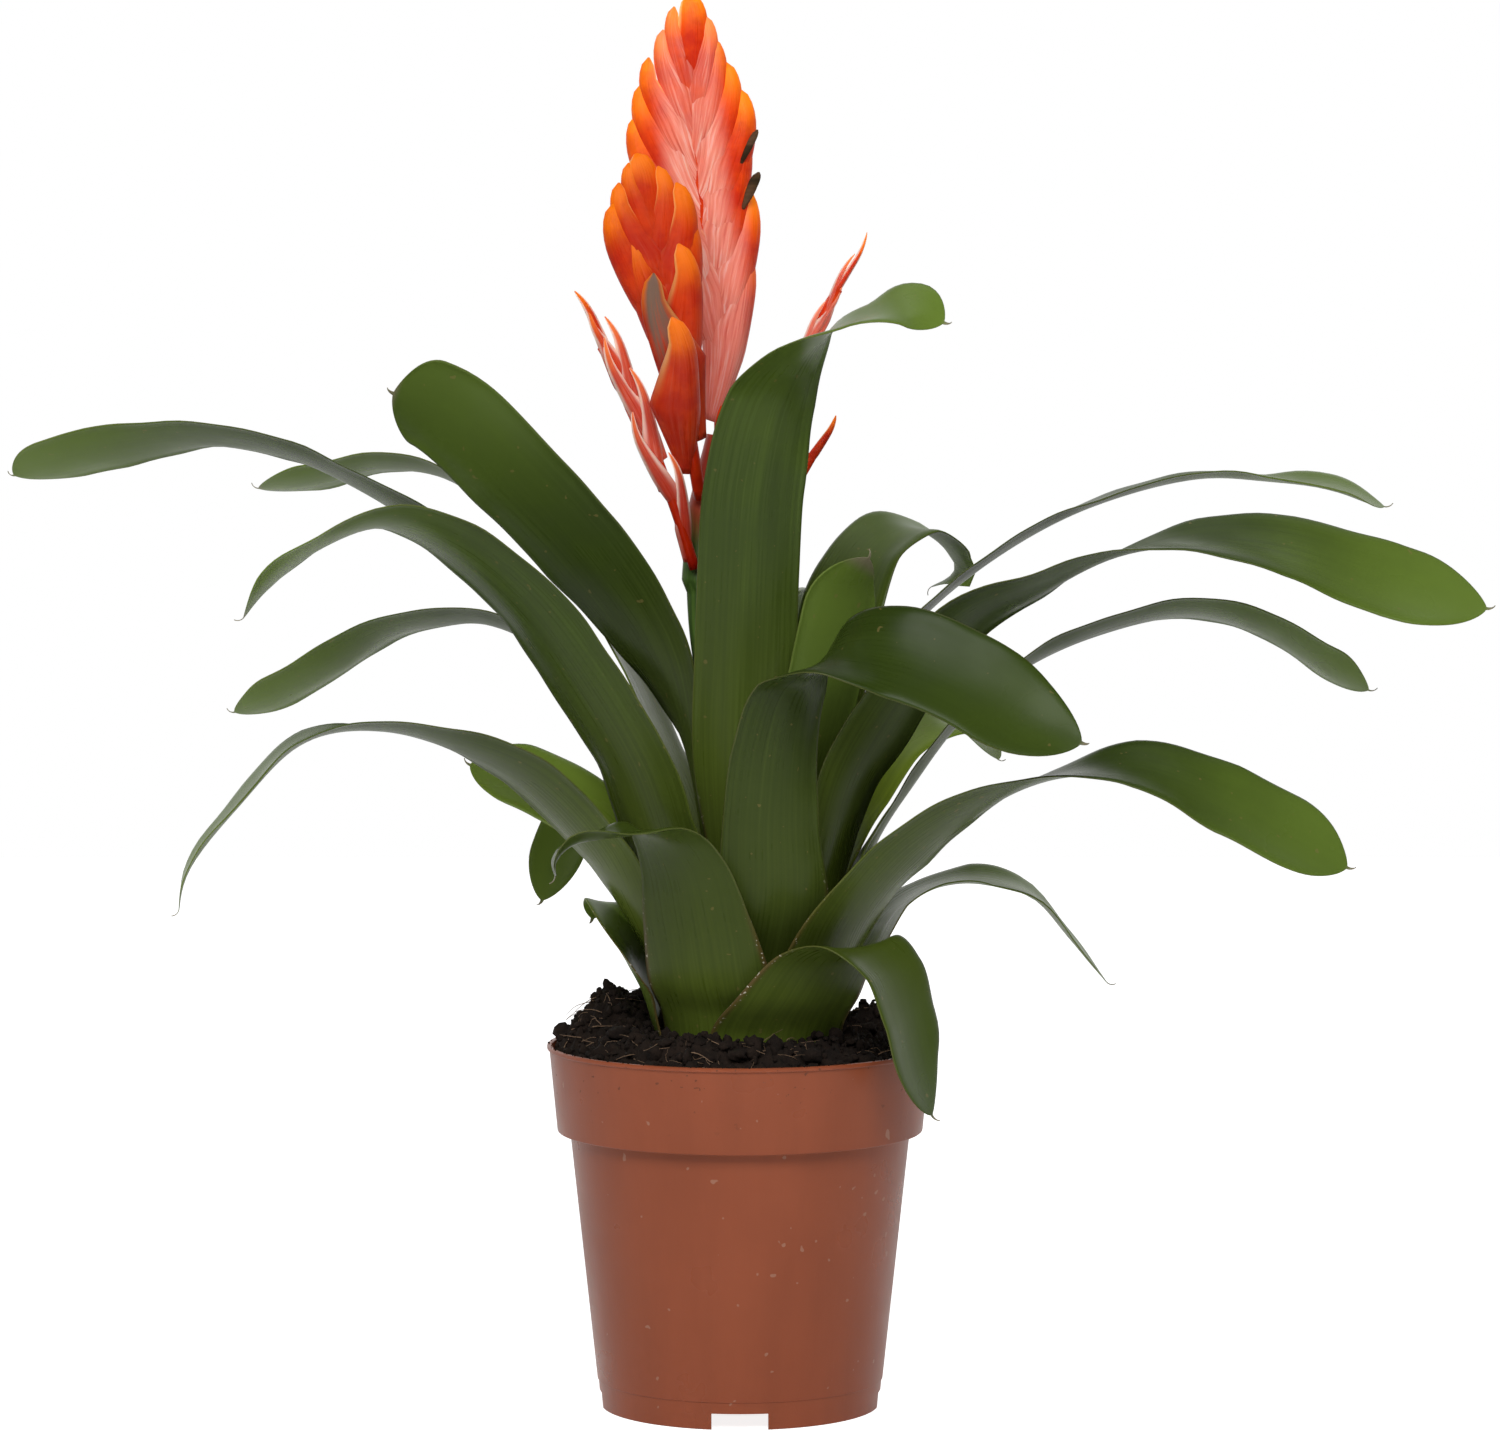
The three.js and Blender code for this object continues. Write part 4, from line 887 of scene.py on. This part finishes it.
def bract_colours(tree, settings, streak, cloudy):
    """Orange-red with partly painted glow at the tips and margins, a salmon middle with a painted highlight,
    then the pale, dark and dry parts.
    """
    share, wide, out, dry = read_marks(tree, "share", "wide", "out", "dry")
    pink, pale, deep = read_marks(tree, "pink", "pale", "deep")
    height = height_of(tree, solid_place(tree))
    aside = calc(tree, "ABSOLUTE", wide)
    colour = tint(tree, span(tree, cloudy, 0.35, 0.65), settings.red, settings.orange)
    # The tips turn to the tip orange: partly the bracts' own colour, partly a painted glow of backlight
    # shining through them.
    glowing = span(tree, share, 0.66, 0.98, 0.0, 0.9)
    glowing = times(tree, glowing, span(tree, cloudy, 0.3, 0.55, 0.6, 1.0))
    colour = tint(tree, glowing, colour, settings.tip)
    salmon = times(tree, span(tree, out, 0.0125, 0.005), span(tree, streak, 0.3, 0.6, 0.5, 1.0))
    colour = tint(tree, times(tree, salmon, pink), colour, settings.salmon)
    # Painted highlight: pale pink streaks down the middle of the pink bracts stand in for the gloss of their
    # lit middle.
    painted_highlight = times(tree, span(tree, streak, 0.5, 0.68, 0.0, 0.7), span(tree, out, 0.01, 0.002))
    colour = tint(tree, times(tree, painted_highlight, pink), colour, BRACT_PAINTED_HIGHLIGHT)
    low = times(tree, span(tree, height, 0.385, 0.3, 0.0, 0.8), pink)
    colour = tint(tree, low, colour, BRACT_LOW, mode="MULTIPLY")
    colour = tint(tree, span(tree, height, 0.3, 0.28, 0.0, 0.75), colour, BRACT_FOOT, mode="MULTIPLY")
    colour = tint(tree, span(tree, streak, 0.6, 0.8, 0.0, 0.15), colour, BRACT_LIGHT_STREAK)
    colour = tint(tree, span(tree, streak, 0.42, 0.25, 0.0, 0.35), colour, BRACT_DARK_STREAK)
    # Painted glow: a yellow-orange band along one margin of each bract stands in for backlight shining
    # through the thin edge.
    margin = times(tree, span(tree, wide, -0.72, -0.98), span(tree, share, 0.45, 0.8))
    colour = tint(tree, times(tree, margin, 0.7), colour, BRACT_MARGIN_GLOW)
    colour = tint(tree, times(tree, deep, 0.5), colour, settings.deep, mode="MULTIPLY")
    papery = times(tree, span(tree, aside, 0.4, 0.9), pale)
    papery = times(tree, papery, span(tree, share, 0.2, 0.6, 0.15, 1.0))
    colour = tint(tree, papery, colour, BRACT_PAPER)
    husk = times(tree, dry, span(tree, plus(tree, share, streak), 0.8, 1.35))
    husk = times(tree, husk, span(tree, aside, 0.95, 0.45))
    colour = tint(tree, husk, colour, settings.husk)
    wilted = tint(tree, span(tree, streak, 0.35, 0.65), FLORET_DARK, FLORET_LIGHT)
    return tint(tree, span(tree, dry, 1.1, 2.0), colour, wilted)


def make_bract_material(settings):
    """Waxy bracts that let a little light through, with a painted glow of their own colour that grows toward
    their tips.
    """
    material, tree, shader = new_material("waxy_bract")
    share, wide, dry, seed = read_marks(tree, "share", "wide", "dry", "seed")
    streak = grain(tree, drawn_along(tree, wide, share, seed, 0.25), 9.0, 4.0, 0.6)
    cloudy = grain(tree, solid_place(tree), 90.0, 4.0, 0.6)
    colour = bract_colours(tree, settings, streak, cloudy)
    rough = plus(tree, span(tree, streak, 0.3, 0.7, 0.24, 0.4), times(tree, dry, 0.25))
    relief = plus(tree, streak, times(tree, cloudy, 0.5))
    dress(tree, shader, colour, rough, specular=0.1, relief=(relief, 0.4, 0.0007))
    shader.inputs["Subsurface Weight"].default_value = 0.15
    shader.inputs["Subsurface Radius"].default_value = (1.0, 0.3, 0.05)
    shader.inputs["Subsurface Scale"].default_value = 0.002
    # Painted glow: the bracts give off light of their own colour, strongest toward the tips and none where
    # withered, standing in for backlight shining through them.
    glow = times(tree, span(tree, dry, 0.3, 0.0), span(tree, share, 0.6, 1.0, 0.06, 0.34))
    set_input(tree, shader.inputs["Emission Color"], colour)
    set_input(tree, shader.inputs["Emission Strength"], glow)
    return material


def make_stalk_material():
    """Streaked green that turns red near the top."""
    material, tree, shader = new_material("green_stalk")
    streak = grain(tree, drawn_up(tree, solid_place(tree), 0.05), 900.0, 3.0)
    colour = tint(tree, span(tree, streak, 0.35, 0.65), STALK_DARK, STALK_LIGHT)
    along, = read_marks(tree, "along")
    colour = tint(tree, span(tree, along, 0.72, 0.86), colour, STALK_RED)
    dress(tree, shader, colour, 0.42, relief=(streak, 0.2, 0.0003))
    return material


# Pot

def pot_inside(z):
    """Radius of the inside of the pot at a height."""
    if z > COLLAR_FOOT_Z + WALL:
        share = (z - COLLAR_FOOT_Z) / (POT_HEIGHT - COLLAR_FOOT_Z)
        return lerp(COLLAR_FOOT_RADIUS, RIM_RADIUS, share) - WALL
    share = (z - PARTING_Z) / (COLLAR_FOOT_Z - PARTING_Z)
    return lerp(PARTING_RADIUS, BODY_TOP_RADIUS, share) - WALL


def soften(profile, radius, arcs=3):
    """Rounds the inner corners of an open profile of (radius, z) pairs."""
    profile = [np.array(p, float) for p in profile]
    made = [profile[0]]
    for before, corner, after in zip(profile, profile[1:], profile[2:]):
        back, ahead = before - corner, after - corner
        reach = min(radius, 0.45 * np.linalg.norm(back), 0.45 * np.linalg.norm(ahead))
        first, last = corner + unit(back) * reach, corner + unit(ahead) * reach
        for t in np.linspace(0.0, 1.0, arcs + 1):
            made.append((1 - t) ** 2 * first + 2 * t * (1 - t) * corner + t**2 * last)
    made.append(profile[-1])
    return made


def spin_points(profile, sides):
    """Rings of a profile of (radius, z) pairs that is spun round the upright axis."""
    return np.vstack([ring_of(sides, np.array((0.0, 0.0, z)), X_AXIS, Y_AXIS, r) for r, z in profile])


def make_pot(settings, material):
    """The pot, spun from its profile, with the notches and drain holes cut out."""
    shoulder = COLLAR_FOOT_Z + WALL
    lip_foot = POT_HEIGHT - LIP_HEIGHT
    floor_top = FLOOR_Z + FLOOR_THICKNESS
    profile = [
        (AXIS_GAP, FLOOR_Z),
        (FOOT_RADIUS - WALL, FLOOR_Z),
        (FOOT_RADIUS - WALL, 0.0),
        (FOOT_RADIUS, 0.0),
        (PARTING_RADIUS - PARTING_STEP, PARTING_Z),
        (PARTING_RADIUS, PARTING_Z),
        (BODY_TOP_RADIUS, COLLAR_FOOT_Z),
        (COLLAR_FOOT_RADIUS, COLLAR_FOOT_Z),
        (RIM_RADIUS - 2 * LIP_STEP, lip_foot),
        (RIM_RADIUS, lip_foot),
        (RIM_RADIUS, POT_HEIGHT),
        (RIM_RADIUS - WALL, POT_HEIGHT),
        (pot_inside(shoulder + 0.01), shoulder + 0.01),
        (pot_inside(shoulder), shoulder),
        (pot_inside(floor_top), floor_top),
        (AXIS_GAP, floor_top),
    ]
    profile = soften(profile, CORNER_RADIUS)
    faces = tube_faces(len(profile), settings.sides)
    pot = make_object("nursery_pot", spin_points(profile, settings.sides), faces, material, "pot")
    cutter = make_cutter()
    cut = pot.modifiers.new("cut", "BOOLEAN")
    cut.operation = "DIFFERENCE"
    cut.solver = "EXACT"
    cut.object = cutter
    cut.use_self = True
    depsgraph = bpy.context.evaluated_depsgraph_get()
    mesh = bpy.data.meshes.new_from_object(pot.evaluated_get(depsgraph))
    pot.modifiers.clear()
    pot.data = mesh
    mesh.set_sharp_from_angle(angle=math.radians(SHARP_ANGLE))
    bpy.data.objects.remove(cutter)
    return pot


def make_cutter():
    """The four foot notches and the four drain holes, as one set of cutting shapes."""
    points, faces = [], []
    for i in range(4):
        bearing = math.radians(270 + 90 * i)
        ahead = np.array((math.cos(bearing), math.sin(bearing), 0.0))
        side = np.array((-ahead[1], ahead[0], 0.0))
        block = []
        for z in (-NOTCH_HEIGHT, NOTCH_HEIGHT):
            for a, b in ((-1, -1), (1, -1), (1, 1), (-1, 1)):
                centre = ahead * (FOOT_RADIUS + a * NOTCH_DEPTH / 2) + side * (b * NOTCH_WIDTH / 2)
                block.append(centre + (0.0, 0.0, z))
        faces += tube_faces(2, 4, start=len(points))
        points += block
        bearing = math.radians(45 + 90 * i)
        x, y = DRAIN_CIRCLE * math.cos(bearing), DRAIN_CIRCLE * math.sin(bearing)
        faces += tube_faces(2, DRAIN_SIDES, start=len(points))
        for z in DRAIN_CUT:
            points += list(ring_of(DRAIN_SIDES, np.array((x, y, z)), X_AXIS, Y_AXIS, DRAIN_RADIUS))
    return make_object("pot_cutter", points, faces)


def make_pot_material(settings):
    """Cloudy brown plastic, dusty near the rim, with a few pale specks of lint."""
    material, tree, shader = new_material("terracotta_plastic")
    place = solid_place(tree)
    flow = grain(tree, drawn_up(tree, place, 0.12), 70.0, 4.0, 0.6)
    cloudy = grain(tree, place, 24.0, 4.0, 0.6)
    fine = grain(tree, place, 1500.0, 2.0, 0.5)
    dust = grain(tree, place, 480.0, 2.0, 0.5)
    colour = tint(tree, span(tree, flow, 0.3, 0.7), settings.colour, toned(settings.colour, 1.12))
    colour = tint(tree, span(tree, cloudy, 0.35, 0.7, 0.0, 0.25), colour, toned(settings.colour, 0.8))
    near_rim = span(tree, height_of(tree, place), 0.085, 0.112)
    specks = times(tree, span(tree, dust, 0.69, 0.73), near_rim)
    colour = tint(tree, times(tree, specks, 0.6), colour, POT_DUST)
    lint = span(tree, grain(tree, place, 300.0, 1.0, 0.3), 0.76, 0.78, 0.0, 0.4)
    colour = tint(tree, lint, colour, POT_LINT)
    rough = span(tree, cloudy, 0.3, 0.7, settings.roughness - 0.04, settings.roughness + 0.06)
    rough = plus(tree, rough, times(tree, specks, 0.3))
    relief = plus(tree, times(tree, fine, 0.3), flow)
    dress(tree, shader, colour, rough, specular=0.25, relief=(relief, 0.12, 0.0005))
    return material


# Soil

def soil_height(x, y):
    """Height of the soil: a slope up to the plant, heaps and small clumps."""
    radius = np.hypot(x, y)
    wall = pot_inside(SOIL_WALL_Z)
    inward = (wall - radius) / (wall - SOIL_HOLE_RADIUS)
    z = lerp(SOIL_WALL_Z, SOIL_PLANT_Z, smooth(inward * 1.4))
    for heap in SOIL_HEAPS:
        turn = math.radians(heap["turn"])
        dx = x - heap["radius"] * math.cos(turn)
        dy = y - heap["radius"] * math.sin(turn)
        z = z + heap["height"] * np.exp(-(dx * dx + dy * dy) / heap["spread"] ** 2)
    rough = np.sin(0.9 * x + 0.4 * y) * np.sin(0.7 * y - 0.5 * x) + 0.5 * np.sin(1.9 * x - 1.3 * y)
    return z + SOIL_CLUMP * rough * smooth(inward * 3)


def crumble(point, size):
    """How far the soil stands out at a point, from coarse clods to fine grit."""
    p = Vector(point)
    return size * (noise.noise(p * 0.16) + 0.6 * noise.noise(p * 0.45) + 0.4 * noise.noise(p * 1.1))


def make_soil(settings, material):
    """The body of peat: its wall inside the pot, then its crumbled top down into the plant's hole."""
    a = turns(settings.sides)
    outer = pot_inside(SOIL_WALL_Z) - 2 * SOIL_GAP
    inner = SOIL_HOLE_RADIUS - SOIL_OVERLAP
    foot = FLOOR_Z + FLOOR_THICKNESS + SOIL_GAP
    shoulder = COLLAR_FOOT_Z + WALL
    wall = [
        (foot, foot),
        (shoulder, shoulder + SOIL_GAP),
        (shoulder + 0.01, shoulder + SOIL_GAP),
        (SOIL_WALL_Z, SOIL_WALL_Z - 1.0),
    ]
    points = []
    for pot_z, z in wall:
        r = pot_inside(pot_z) - SOIL_GAP
        points += [(r * math.cos(t), r * math.sin(t), z) for t in a]
    for j in range(SOIL_RINGS, -1, -1):
        share = j / SOIL_RINGS
        tuck = SOIL_TUCK * max(0.0, SOIL_TUCK_SHARE - share)
        size = SOIL_CRUMBLE if j < SOIL_RINGS else SOIL_EDGE_CRUMBLE
        for t in a:
            x = lerp(PLANT_X + inner * math.cos(t), outer * math.cos(t), share)
            y = lerp(inner * math.sin(t), outer * math.sin(t), share)
            points.append((x, y, float(soil_height(x, y)) - tuck + crumble((x, y, 0.0), size)))
    faces = tube_faces(len(points) // settings.sides, settings.sides)
    return make_object("peat_body", points, faces, material, "soil")


def lump_shape(steps):
    """A ball of triangles, as the start of a crumb."""
    ball = bmesh.new()
    bmesh.ops.create_icosphere(ball, subdivisions=steps, radius=1.0)
    points = np.array([v.co[:] for v in ball.verts])
    faces = np.array([[v.index for v in f.verts] for f in ball.faces])
    ball.free()
    return points, faces


def make_crumbs(settings, material):
    """Loose crumbs: many fine ones, a few clods, and some on the lip of the pot."""
    rng = random.Random(settings.seed)
    balls = [lump_shape(1), lump_shape(2)]
    points, faces, made = [], [], 0
    for _ in range(settings.crumbs):
        turn = rng.uniform(0.0, 2 * math.pi)
        on_lip = rng.random() < CRUMB_LIP_SHARE
        if on_lip:
            radius = RIM_RADIUS - rng.uniform(0.3, 1.1)
        else:
            radius = math.sqrt(rng.uniform(CRUMB_INNER_RADIUS**2, CRUMB_OUTER_RADIUS**2))
        x, y = radius * math.cos(turn), radius * math.sin(turn)
        if math.hypot(x - PLANT_X, y) < CRUMB_INNER_RADIUS:
            continue
        size = min(CRUMB_MOST, 0.42 * math.exp(abs(rng.gauss(0.0, 0.72))))
        ground = float(soil_height(x, y)) + crumble((x, y, 0.0), SOIL_CRUMBLE)
        if on_lip:
            size, ground = rng.uniform(0.2, 0.45), POT_HEIGHT
        ball, ball_faces = balls[1 if size > 1.0 else 0]
        stretch = np.array([rng.uniform(0.5, 1.35) for _ in range(3)])
        shift = Vector([rng.uniform(0, 90) for _ in range(3)])
        swell = np.array([1.0 + 0.75 * noise.noise(Vector(p) * 1.9 + shift) for p in ball])
        faces.append(ball_faces + made)
        points.append(ball * swell[:, None] * stretch * size + (x, y, ground + size * rng.uniform(-0.1, 0.6)))
        made += len(ball)
    return make_object("peat_crumbs", np.vstack(points), np.vstack(faces), material, "soil")


def make_fibres(settings, material):
    """Thin tan root fibres that lie on the peat and stick out of it."""
    rng = random.Random(settings.seed + 1)
    points, faces = [], []
    for _ in range(settings.fibres):
        turn = math.radians(rng.choice([rng.uniform(*arc) for arc in FIBRE_ARCS]))
        radius = rng.uniform(38.0, 55.0)
        x, y = radius * math.cos(turn), radius * math.sin(turn)
        z = float(soil_height(x, y)) + rng.uniform(0.2, 1.5)
        heading, rise = rng.uniform(0.0, 2 * math.pi), rng.uniform(-0.15, 0.55)
        girth, reach = rng.uniform(0.09, 0.2), rng.uniform(4.0, 12.0)
        rings = []
        for j in range(FIBRE_STEPS + 1):
            ahead = np.array((math.cos(heading), math.sin(heading), rise))
            side = unit(np.array((-ahead[1], ahead[0], 0.0)))
            front = np.cross(unit(ahead), side)
            if math.hypot(x, y) < FIBRE_OUTER_RADIUS:
                thin = girth * (1.0 - 0.08 * j)
                rings.append(ring_of(FIBRE_SIDES, np.array((x, y, z)), side, front, thin))
            x, y, z = np.array((x, y, z)) + ahead * reach / FIBRE_STEPS
            z = max(z, float(soil_height(x, y)) + 0.1)
            heading += rng.uniform(-0.5, 0.5)
            rise += rng.uniform(-0.25, 0.1)
        if len(rings) < 4:
            continue
        faces += tube_faces(len(rings), FIBRE_SIDES, start=len(points))
        points += [p for ring in rings for p in ring]
    return make_object("root_fibres", points, faces, material, "soil")


def make_soil_material(settings):
    """Near-black peat with coarse clods and lighter grit."""
    material, tree, shader = new_material("dark_peat")
    place = solid_place(tree)
    clods = grain(tree, place, 150.0, 5.0, 0.65)
    grit = grain(tree, place, 900.0, 4.0, 0.7)
    colour = tint(tree, span(tree, clods, 0.35, 0.7), toned(settings.colour, 0.45), settings.colour)
    colour = tint(tree, span(tree, grit, 0.6, 0.75, 0.0, 0.4), colour, PEAT_GRIT)
    relief = plus(tree, clods, times(tree, grit, 0.5))
    dress(tree, shader, colour, 0.9, specular=0.25, relief=(relief, 0.8, 0.0012))
    return material


def make_mottled_material(name, scale, detail, dark, light):
    """A dull finish that goes from a dark to a light tone with the grain."""
    material, tree, shader = new_material(name)
    colour = tint(tree, grain(tree, solid_place(tree), scale, detail), dark, light)
    dress(tree, shader, colour, 0.7)
    return material


# Stage

def make_floor(settings):
    """A pale floor that the camera sees as lit, and of which glossy rays see only a share."""
    reach = FLOOR_REACH
    corners = [(-reach, -reach, 0), (reach, -reach, 0), (reach, reach, 0), (-reach, reach, 0)]
    material, tree, shader = new_material("pale_floor")
    shade = toned(settings.floor_colour, 0.98)
    colour = tint(tree, grain(tree, solid_place(tree), 3.0), settings.floor_colour, shade)
    dress(tree, shader, colour, 0.8)
    path = add_node(tree, "ShaderNodeLightPath")
    mirrored = times(tree, path.outputs["Is Glossy Ray"], FLOOR_MIRROR_SHARE)
    glow = calc(tree, "MAXIMUM", path.outputs["Is Camera Ray"], mirrored)
    glow = calc(tree, "MAXIMUM", glow, settings.floor_glow)
    set_input(tree, shader.inputs["Emission Color"], colour)
    set_input(tree, shader.inputs["Emission Strength"], glow)
    make_object("studio_floor", corners, [(0, 1, 2, 3)], material)


def make_surroundings(settings):
    """White surroundings: plain to the camera, brightest behind the plant and low down."""
    world = bpy.data.worlds.new("studio_surroundings")
    bpy.context.scene.world = world
    world.use_nodes = True
    tree = world.node_tree
    back = tree.nodes["Background"]
    around = add_node(tree, "ShaderNodeTexCoord").outputs["Generated"]
    direction = add_node(tree, "ShaderNodeSeparateXYZ", Vector=around)
    behind = span(tree, direction.outputs["Y"], 0.0, 0.6, settings.front_glow, settings.back_glow)
    low = span(tree, direction.outputs["Z"], 0.75, 0.3, settings.sky_glow, 1.0)
    seen = add_node(tree, "ShaderNodeLightPath").outputs["Is Camera Ray"]
    strength = calc(tree, "MAXIMUM", seen, times(tree, behind, low))
    set_input(tree, back.inputs["Strength"], strength)
    set_input(tree, back.inputs["Color"], (1.0, 1.0, 1.0))


def add_light(name, position, target, width, height, power):
    data = bpy.data.lights.new(name, "AREA")
    data.shape = "RECTANGLE"
    data.size = width
    data.size_y = height
    data.energy = power
    light = bpy.data.objects.new(name, data)
    light.location = position
    light.rotation_euler = (Vector(target) - Vector(position)).to_track_quat("-Z", "Y").to_euler()
    bpy.context.scene.collection.objects.link(light)


def add_camera():
    data = bpy.data.cameras.new("front_view")
    data.lens = CAMERA_LENS
    data.sensor_width = CAMERA_SENSOR
    camera = bpy.data.objects.new("front_view", data)
    camera.location = CAMERA_PLACE
    camera.rotation_euler = (math.radians(90.0) - CAMERA_PITCH, 0.0, 0.0)
    bpy.context.scene.collection.objects.link(camera)
    bpy.context.scene.camera = camera


def make_stage(settings):
    bpy.context.scene.view_settings.view_transform = "Standard"
    make_floor(settings)
    make_surroundings(settings)
    for name, position, target, width, height, power in LIGHTS:
        add_light(name, position, target, width, height, getattr(settings, power))
    add_camera()


# Settings

def colour_property(name, description, default):
    return FloatVectorProperty(name=name, description=description, subtype="COLOR", size=3, min=0.0,
                               max=1.0, default=default)


def power_property(name, description, default):
    return FloatProperty(name=name, description=description, default=default, unit="POWER")


class VrieseaPotSettings(PropertyGroup):
    colour: colour_property("Colour", "Terracotta brown of the pot", (0.275, 0.068, 0.028))
    roughness: FloatProperty(name="Roughness", description="How matt the plastic is", default=0.3, min=0.0,
                             max=1.0, subtype="FACTOR")
    sides: IntProperty(name="Sides", description="Sides of the round pot", default=192, min=16)


class VrieseaSoilSettings(PropertyGroup):
    colour: colour_property("Colour", "Colour of the peat", (0.019, 0.0105, 0.0065))
    sides: IntProperty(name="Sides", description="Points round each ring of the soil", default=220, min=16)
    crumbs: IntProperty(name="Crumbs", description="Loose crumbs on the soil", default=2400, min=0)
    fibres: IntProperty(name="Fibres", description="Thin root fibres on the soil", default=110, min=0)
    seed: IntProperty(name="Seed", description="Draw of the crumbs and fibres", default=7, min=0)


class VrieseaLeafSettings(PropertyGroup):
    rows: IntProperty(name="Rows", description="Steps along each leaf", default=96, min=20)
    columns: IntProperty(name="Columns", description="Steps across each leaf", default=16, min=4)
    ripple: FloatProperty(name="Ripple", description="Height of the waves at the margins, in millimetres",
                          default=0.35, min=0.0)
    deep_green: colour_property("Deep green", "Darker streaks", (0.03, 0.05, 0.006))
    mid_green: colour_property("Mid green", "Lighter streaks", (0.07, 0.112, 0.013))
    fresh_green: colour_property("Fresh green", "Younger, lighter leaves", (0.26, 0.35, 0.025))
    # Partly the leaves' own tip colour, partly a painted glow of backlight
    tip_green: colour_property("Tip green", "Last stretch before the tip", (0.17, 0.26, 0.04))
    sheath_green: colour_property("Sheath green", "Leaf base near the soil", (0.125, 0.17, 0.014))
    under_green: colour_property("Underside green", "Greyer outer face", (0.07, 0.095, 0.035))


class VrieseaSpikeSettings(PropertyGroup):
    rows: IntProperty(name="Rows", description="Rings along each bract", default=20, min=4)
    sides: IntProperty(name="Sides", description="Points round each bract", default=20, min=6)
    orange: colour_property("Orange", "Lit flanks of the bracts", (0.78, 0.06, 0.005))
    red: colour_property("Red", "Shaded flanks and keels", (0.6, 0.026, 0.006))
    salmon: colour_property("Salmon", "Middle of the main spike", (0.95, 0.34, 0.25))
    # Partly the bracts' own tip colour, partly a painted glow of backlight
    tip: colour_property("Tip", "Glowing tips", (1.0, 0.25, 0.005))
    deep: colour_property("Deep", "Tone that darkens the lower spikes", (0.5, 0.3, 0.2))
    husk: colour_property("Husk", "Withered bracts", (0.2, 0.12, 0.085))


class VrieseaStageSettings(PropertyGroup):
    floor_colour: colour_property("Floor", "Colour of the floor", (0.86, 0.86, 0.86))
    floor_glow: FloatProperty(name="Floor glow", description="Light that the floor gives off", default=0.15)
    front_glow: FloatProperty(name="Front glow", description="Brightness in front of the plant", default=0.06)
    back_glow: FloatProperty(name="Back glow", description="Brightness behind the plant", default=1.0)
    sky_glow: FloatProperty(name="Sky glow", description="Share of the glow from above", default=0.3)
    front_light: power_property("Front light", "Power of the front box", 34.0)
    side_light: power_property("Side light", "Power of each side box", 0.6)
    top_light: power_property("Top light", "Power of the top box", 5.0)


SETTINGS = {
    "vriesea_pot": VrieseaPotSettings,
    "vriesea_soil": VrieseaSoilSettings,
    "vriesea_leaf": VrieseaLeafSettings,
    "vriesea_spike": VrieseaSpikeSettings,
    "vriesea_stage": VrieseaStageSettings,
}


# Operators

class VRIESEA_OT_pot(Operator):
    """Makes the round nursery pot"""

    bl_idname = "vriesea.pot"
    bl_label = "Pot"

    def execute(self, context):
        settings = context.scene.vriesea_pot
        make_pot(settings, make_pot_material(settings))
        return {"FINISHED"}


class VRIESEA_OT_soil(Operator):
    """Makes the peat with its crumbs and root fibres"""

    bl_idname = "vriesea.soil"
    bl_label = "Soil"

    def execute(self, context):
        settings = context.scene.vriesea_soil
        peat = make_soil_material(settings)
        make_soil(settings, peat)
        make_crumbs(settings, peat)
        make_fibres(settings, make_mottled_material("dry_root", 400.0, 3.0, ROOT_DARK, ROOT_LIGHT))
        return {"FINISHED"}


class VRIESEA_OT_leaves(Operator):
    """Makes every leaf of the rosette and finishes the crown that carries them"""

    bl_idname = "vriesea.leaves"
    bl_label = "Leaves"

    def execute(self, context):
        settings = context.scene.vriesea_leaf
        material = make_leaf_material(settings)
        for order, leaf in enumerate(LEAVES):
            make_leaf(leaf, order, settings, material)
        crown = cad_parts["crown"]
        crown.data.materials.clear()
        pale = make_mottled_material("pale_crown", 160.0, 4.0, CROWN_DARK, CROWN_LIGHT)
        crown.data.materials.append(pale)
        return {"FINISHED"}


class VRIESEA_OT_spikes(Operator):
    """Makes the flower stalk and its spikes of folded bracts"""

    bl_idname = "vriesea.spikes"
    bl_label = "Flower spikes"

    def execute(self, context):
        settings = context.scene.vriesea_spike
        make_stalk(make_stalk_material())
        material = make_bract_material(settings)
        for order, spike in enumerate(SPIKES):
            make_spike(spike, order, settings, material)
        return {"FINISHED"}


class VRIESEA_OT_stage(Operator):
    """Sets the pale floor, the studio light and the camera"""

    bl_idname = "vriesea.stage"
    bl_label = "Stage"

    def execute(self, context):
        make_stage(context.scene.vriesea_stage)
        return {"FINISHED"}


OPERATORS = [
    VRIESEA_OT_pot,
    VRIESEA_OT_soil,
    VRIESEA_OT_leaves,
    VRIESEA_OT_spikes,
    VRIESEA_OT_stage,
]


class VRIESEA_PT_sidebar(Panel):
    """Sizes and colours of the potted vriesea"""

    bl_idname = "VRIESEA_PT_sidebar"
    bl_label = "Potted Vriesea"
    bl_space_type = "VIEW_3D"
    bl_region_type = "UI"
    bl_category = "Vriesea"

    def draw(self, context):
        for (group, settings), operator in zip(SETTINGS.items(), OPERATORS):
            box = self.layout.box()
            for name in settings.__annotations__:
                box.prop(getattr(context.scene, group), name)
            box.operator(operator.bl_idname)


CLASSES = [*SETTINGS.values(), *OPERATORS, VRIESEA_PT_sidebar]


def register():
    for cls in CLASSES:
        bpy.utils.register_class(cls)
    for name, settings in SETTINGS.items():
        setattr(bpy.types.Scene, name, PointerProperty(type=settings))


def unregister():
    for name in SETTINGS:
        delattr(bpy.types.Scene, name)
    for cls in reversed(CLASSES):
        bpy.utils.unregister_class(cls)


def main():
    register()
    bpy.ops.vriesea.pot()
    bpy.ops.vriesea.soil()
    bpy.ops.vriesea.leaves()
    bpy.ops.vriesea.spikes()
    bpy.ops.vriesea.stage()


if __name__ == "__main__":
    main()
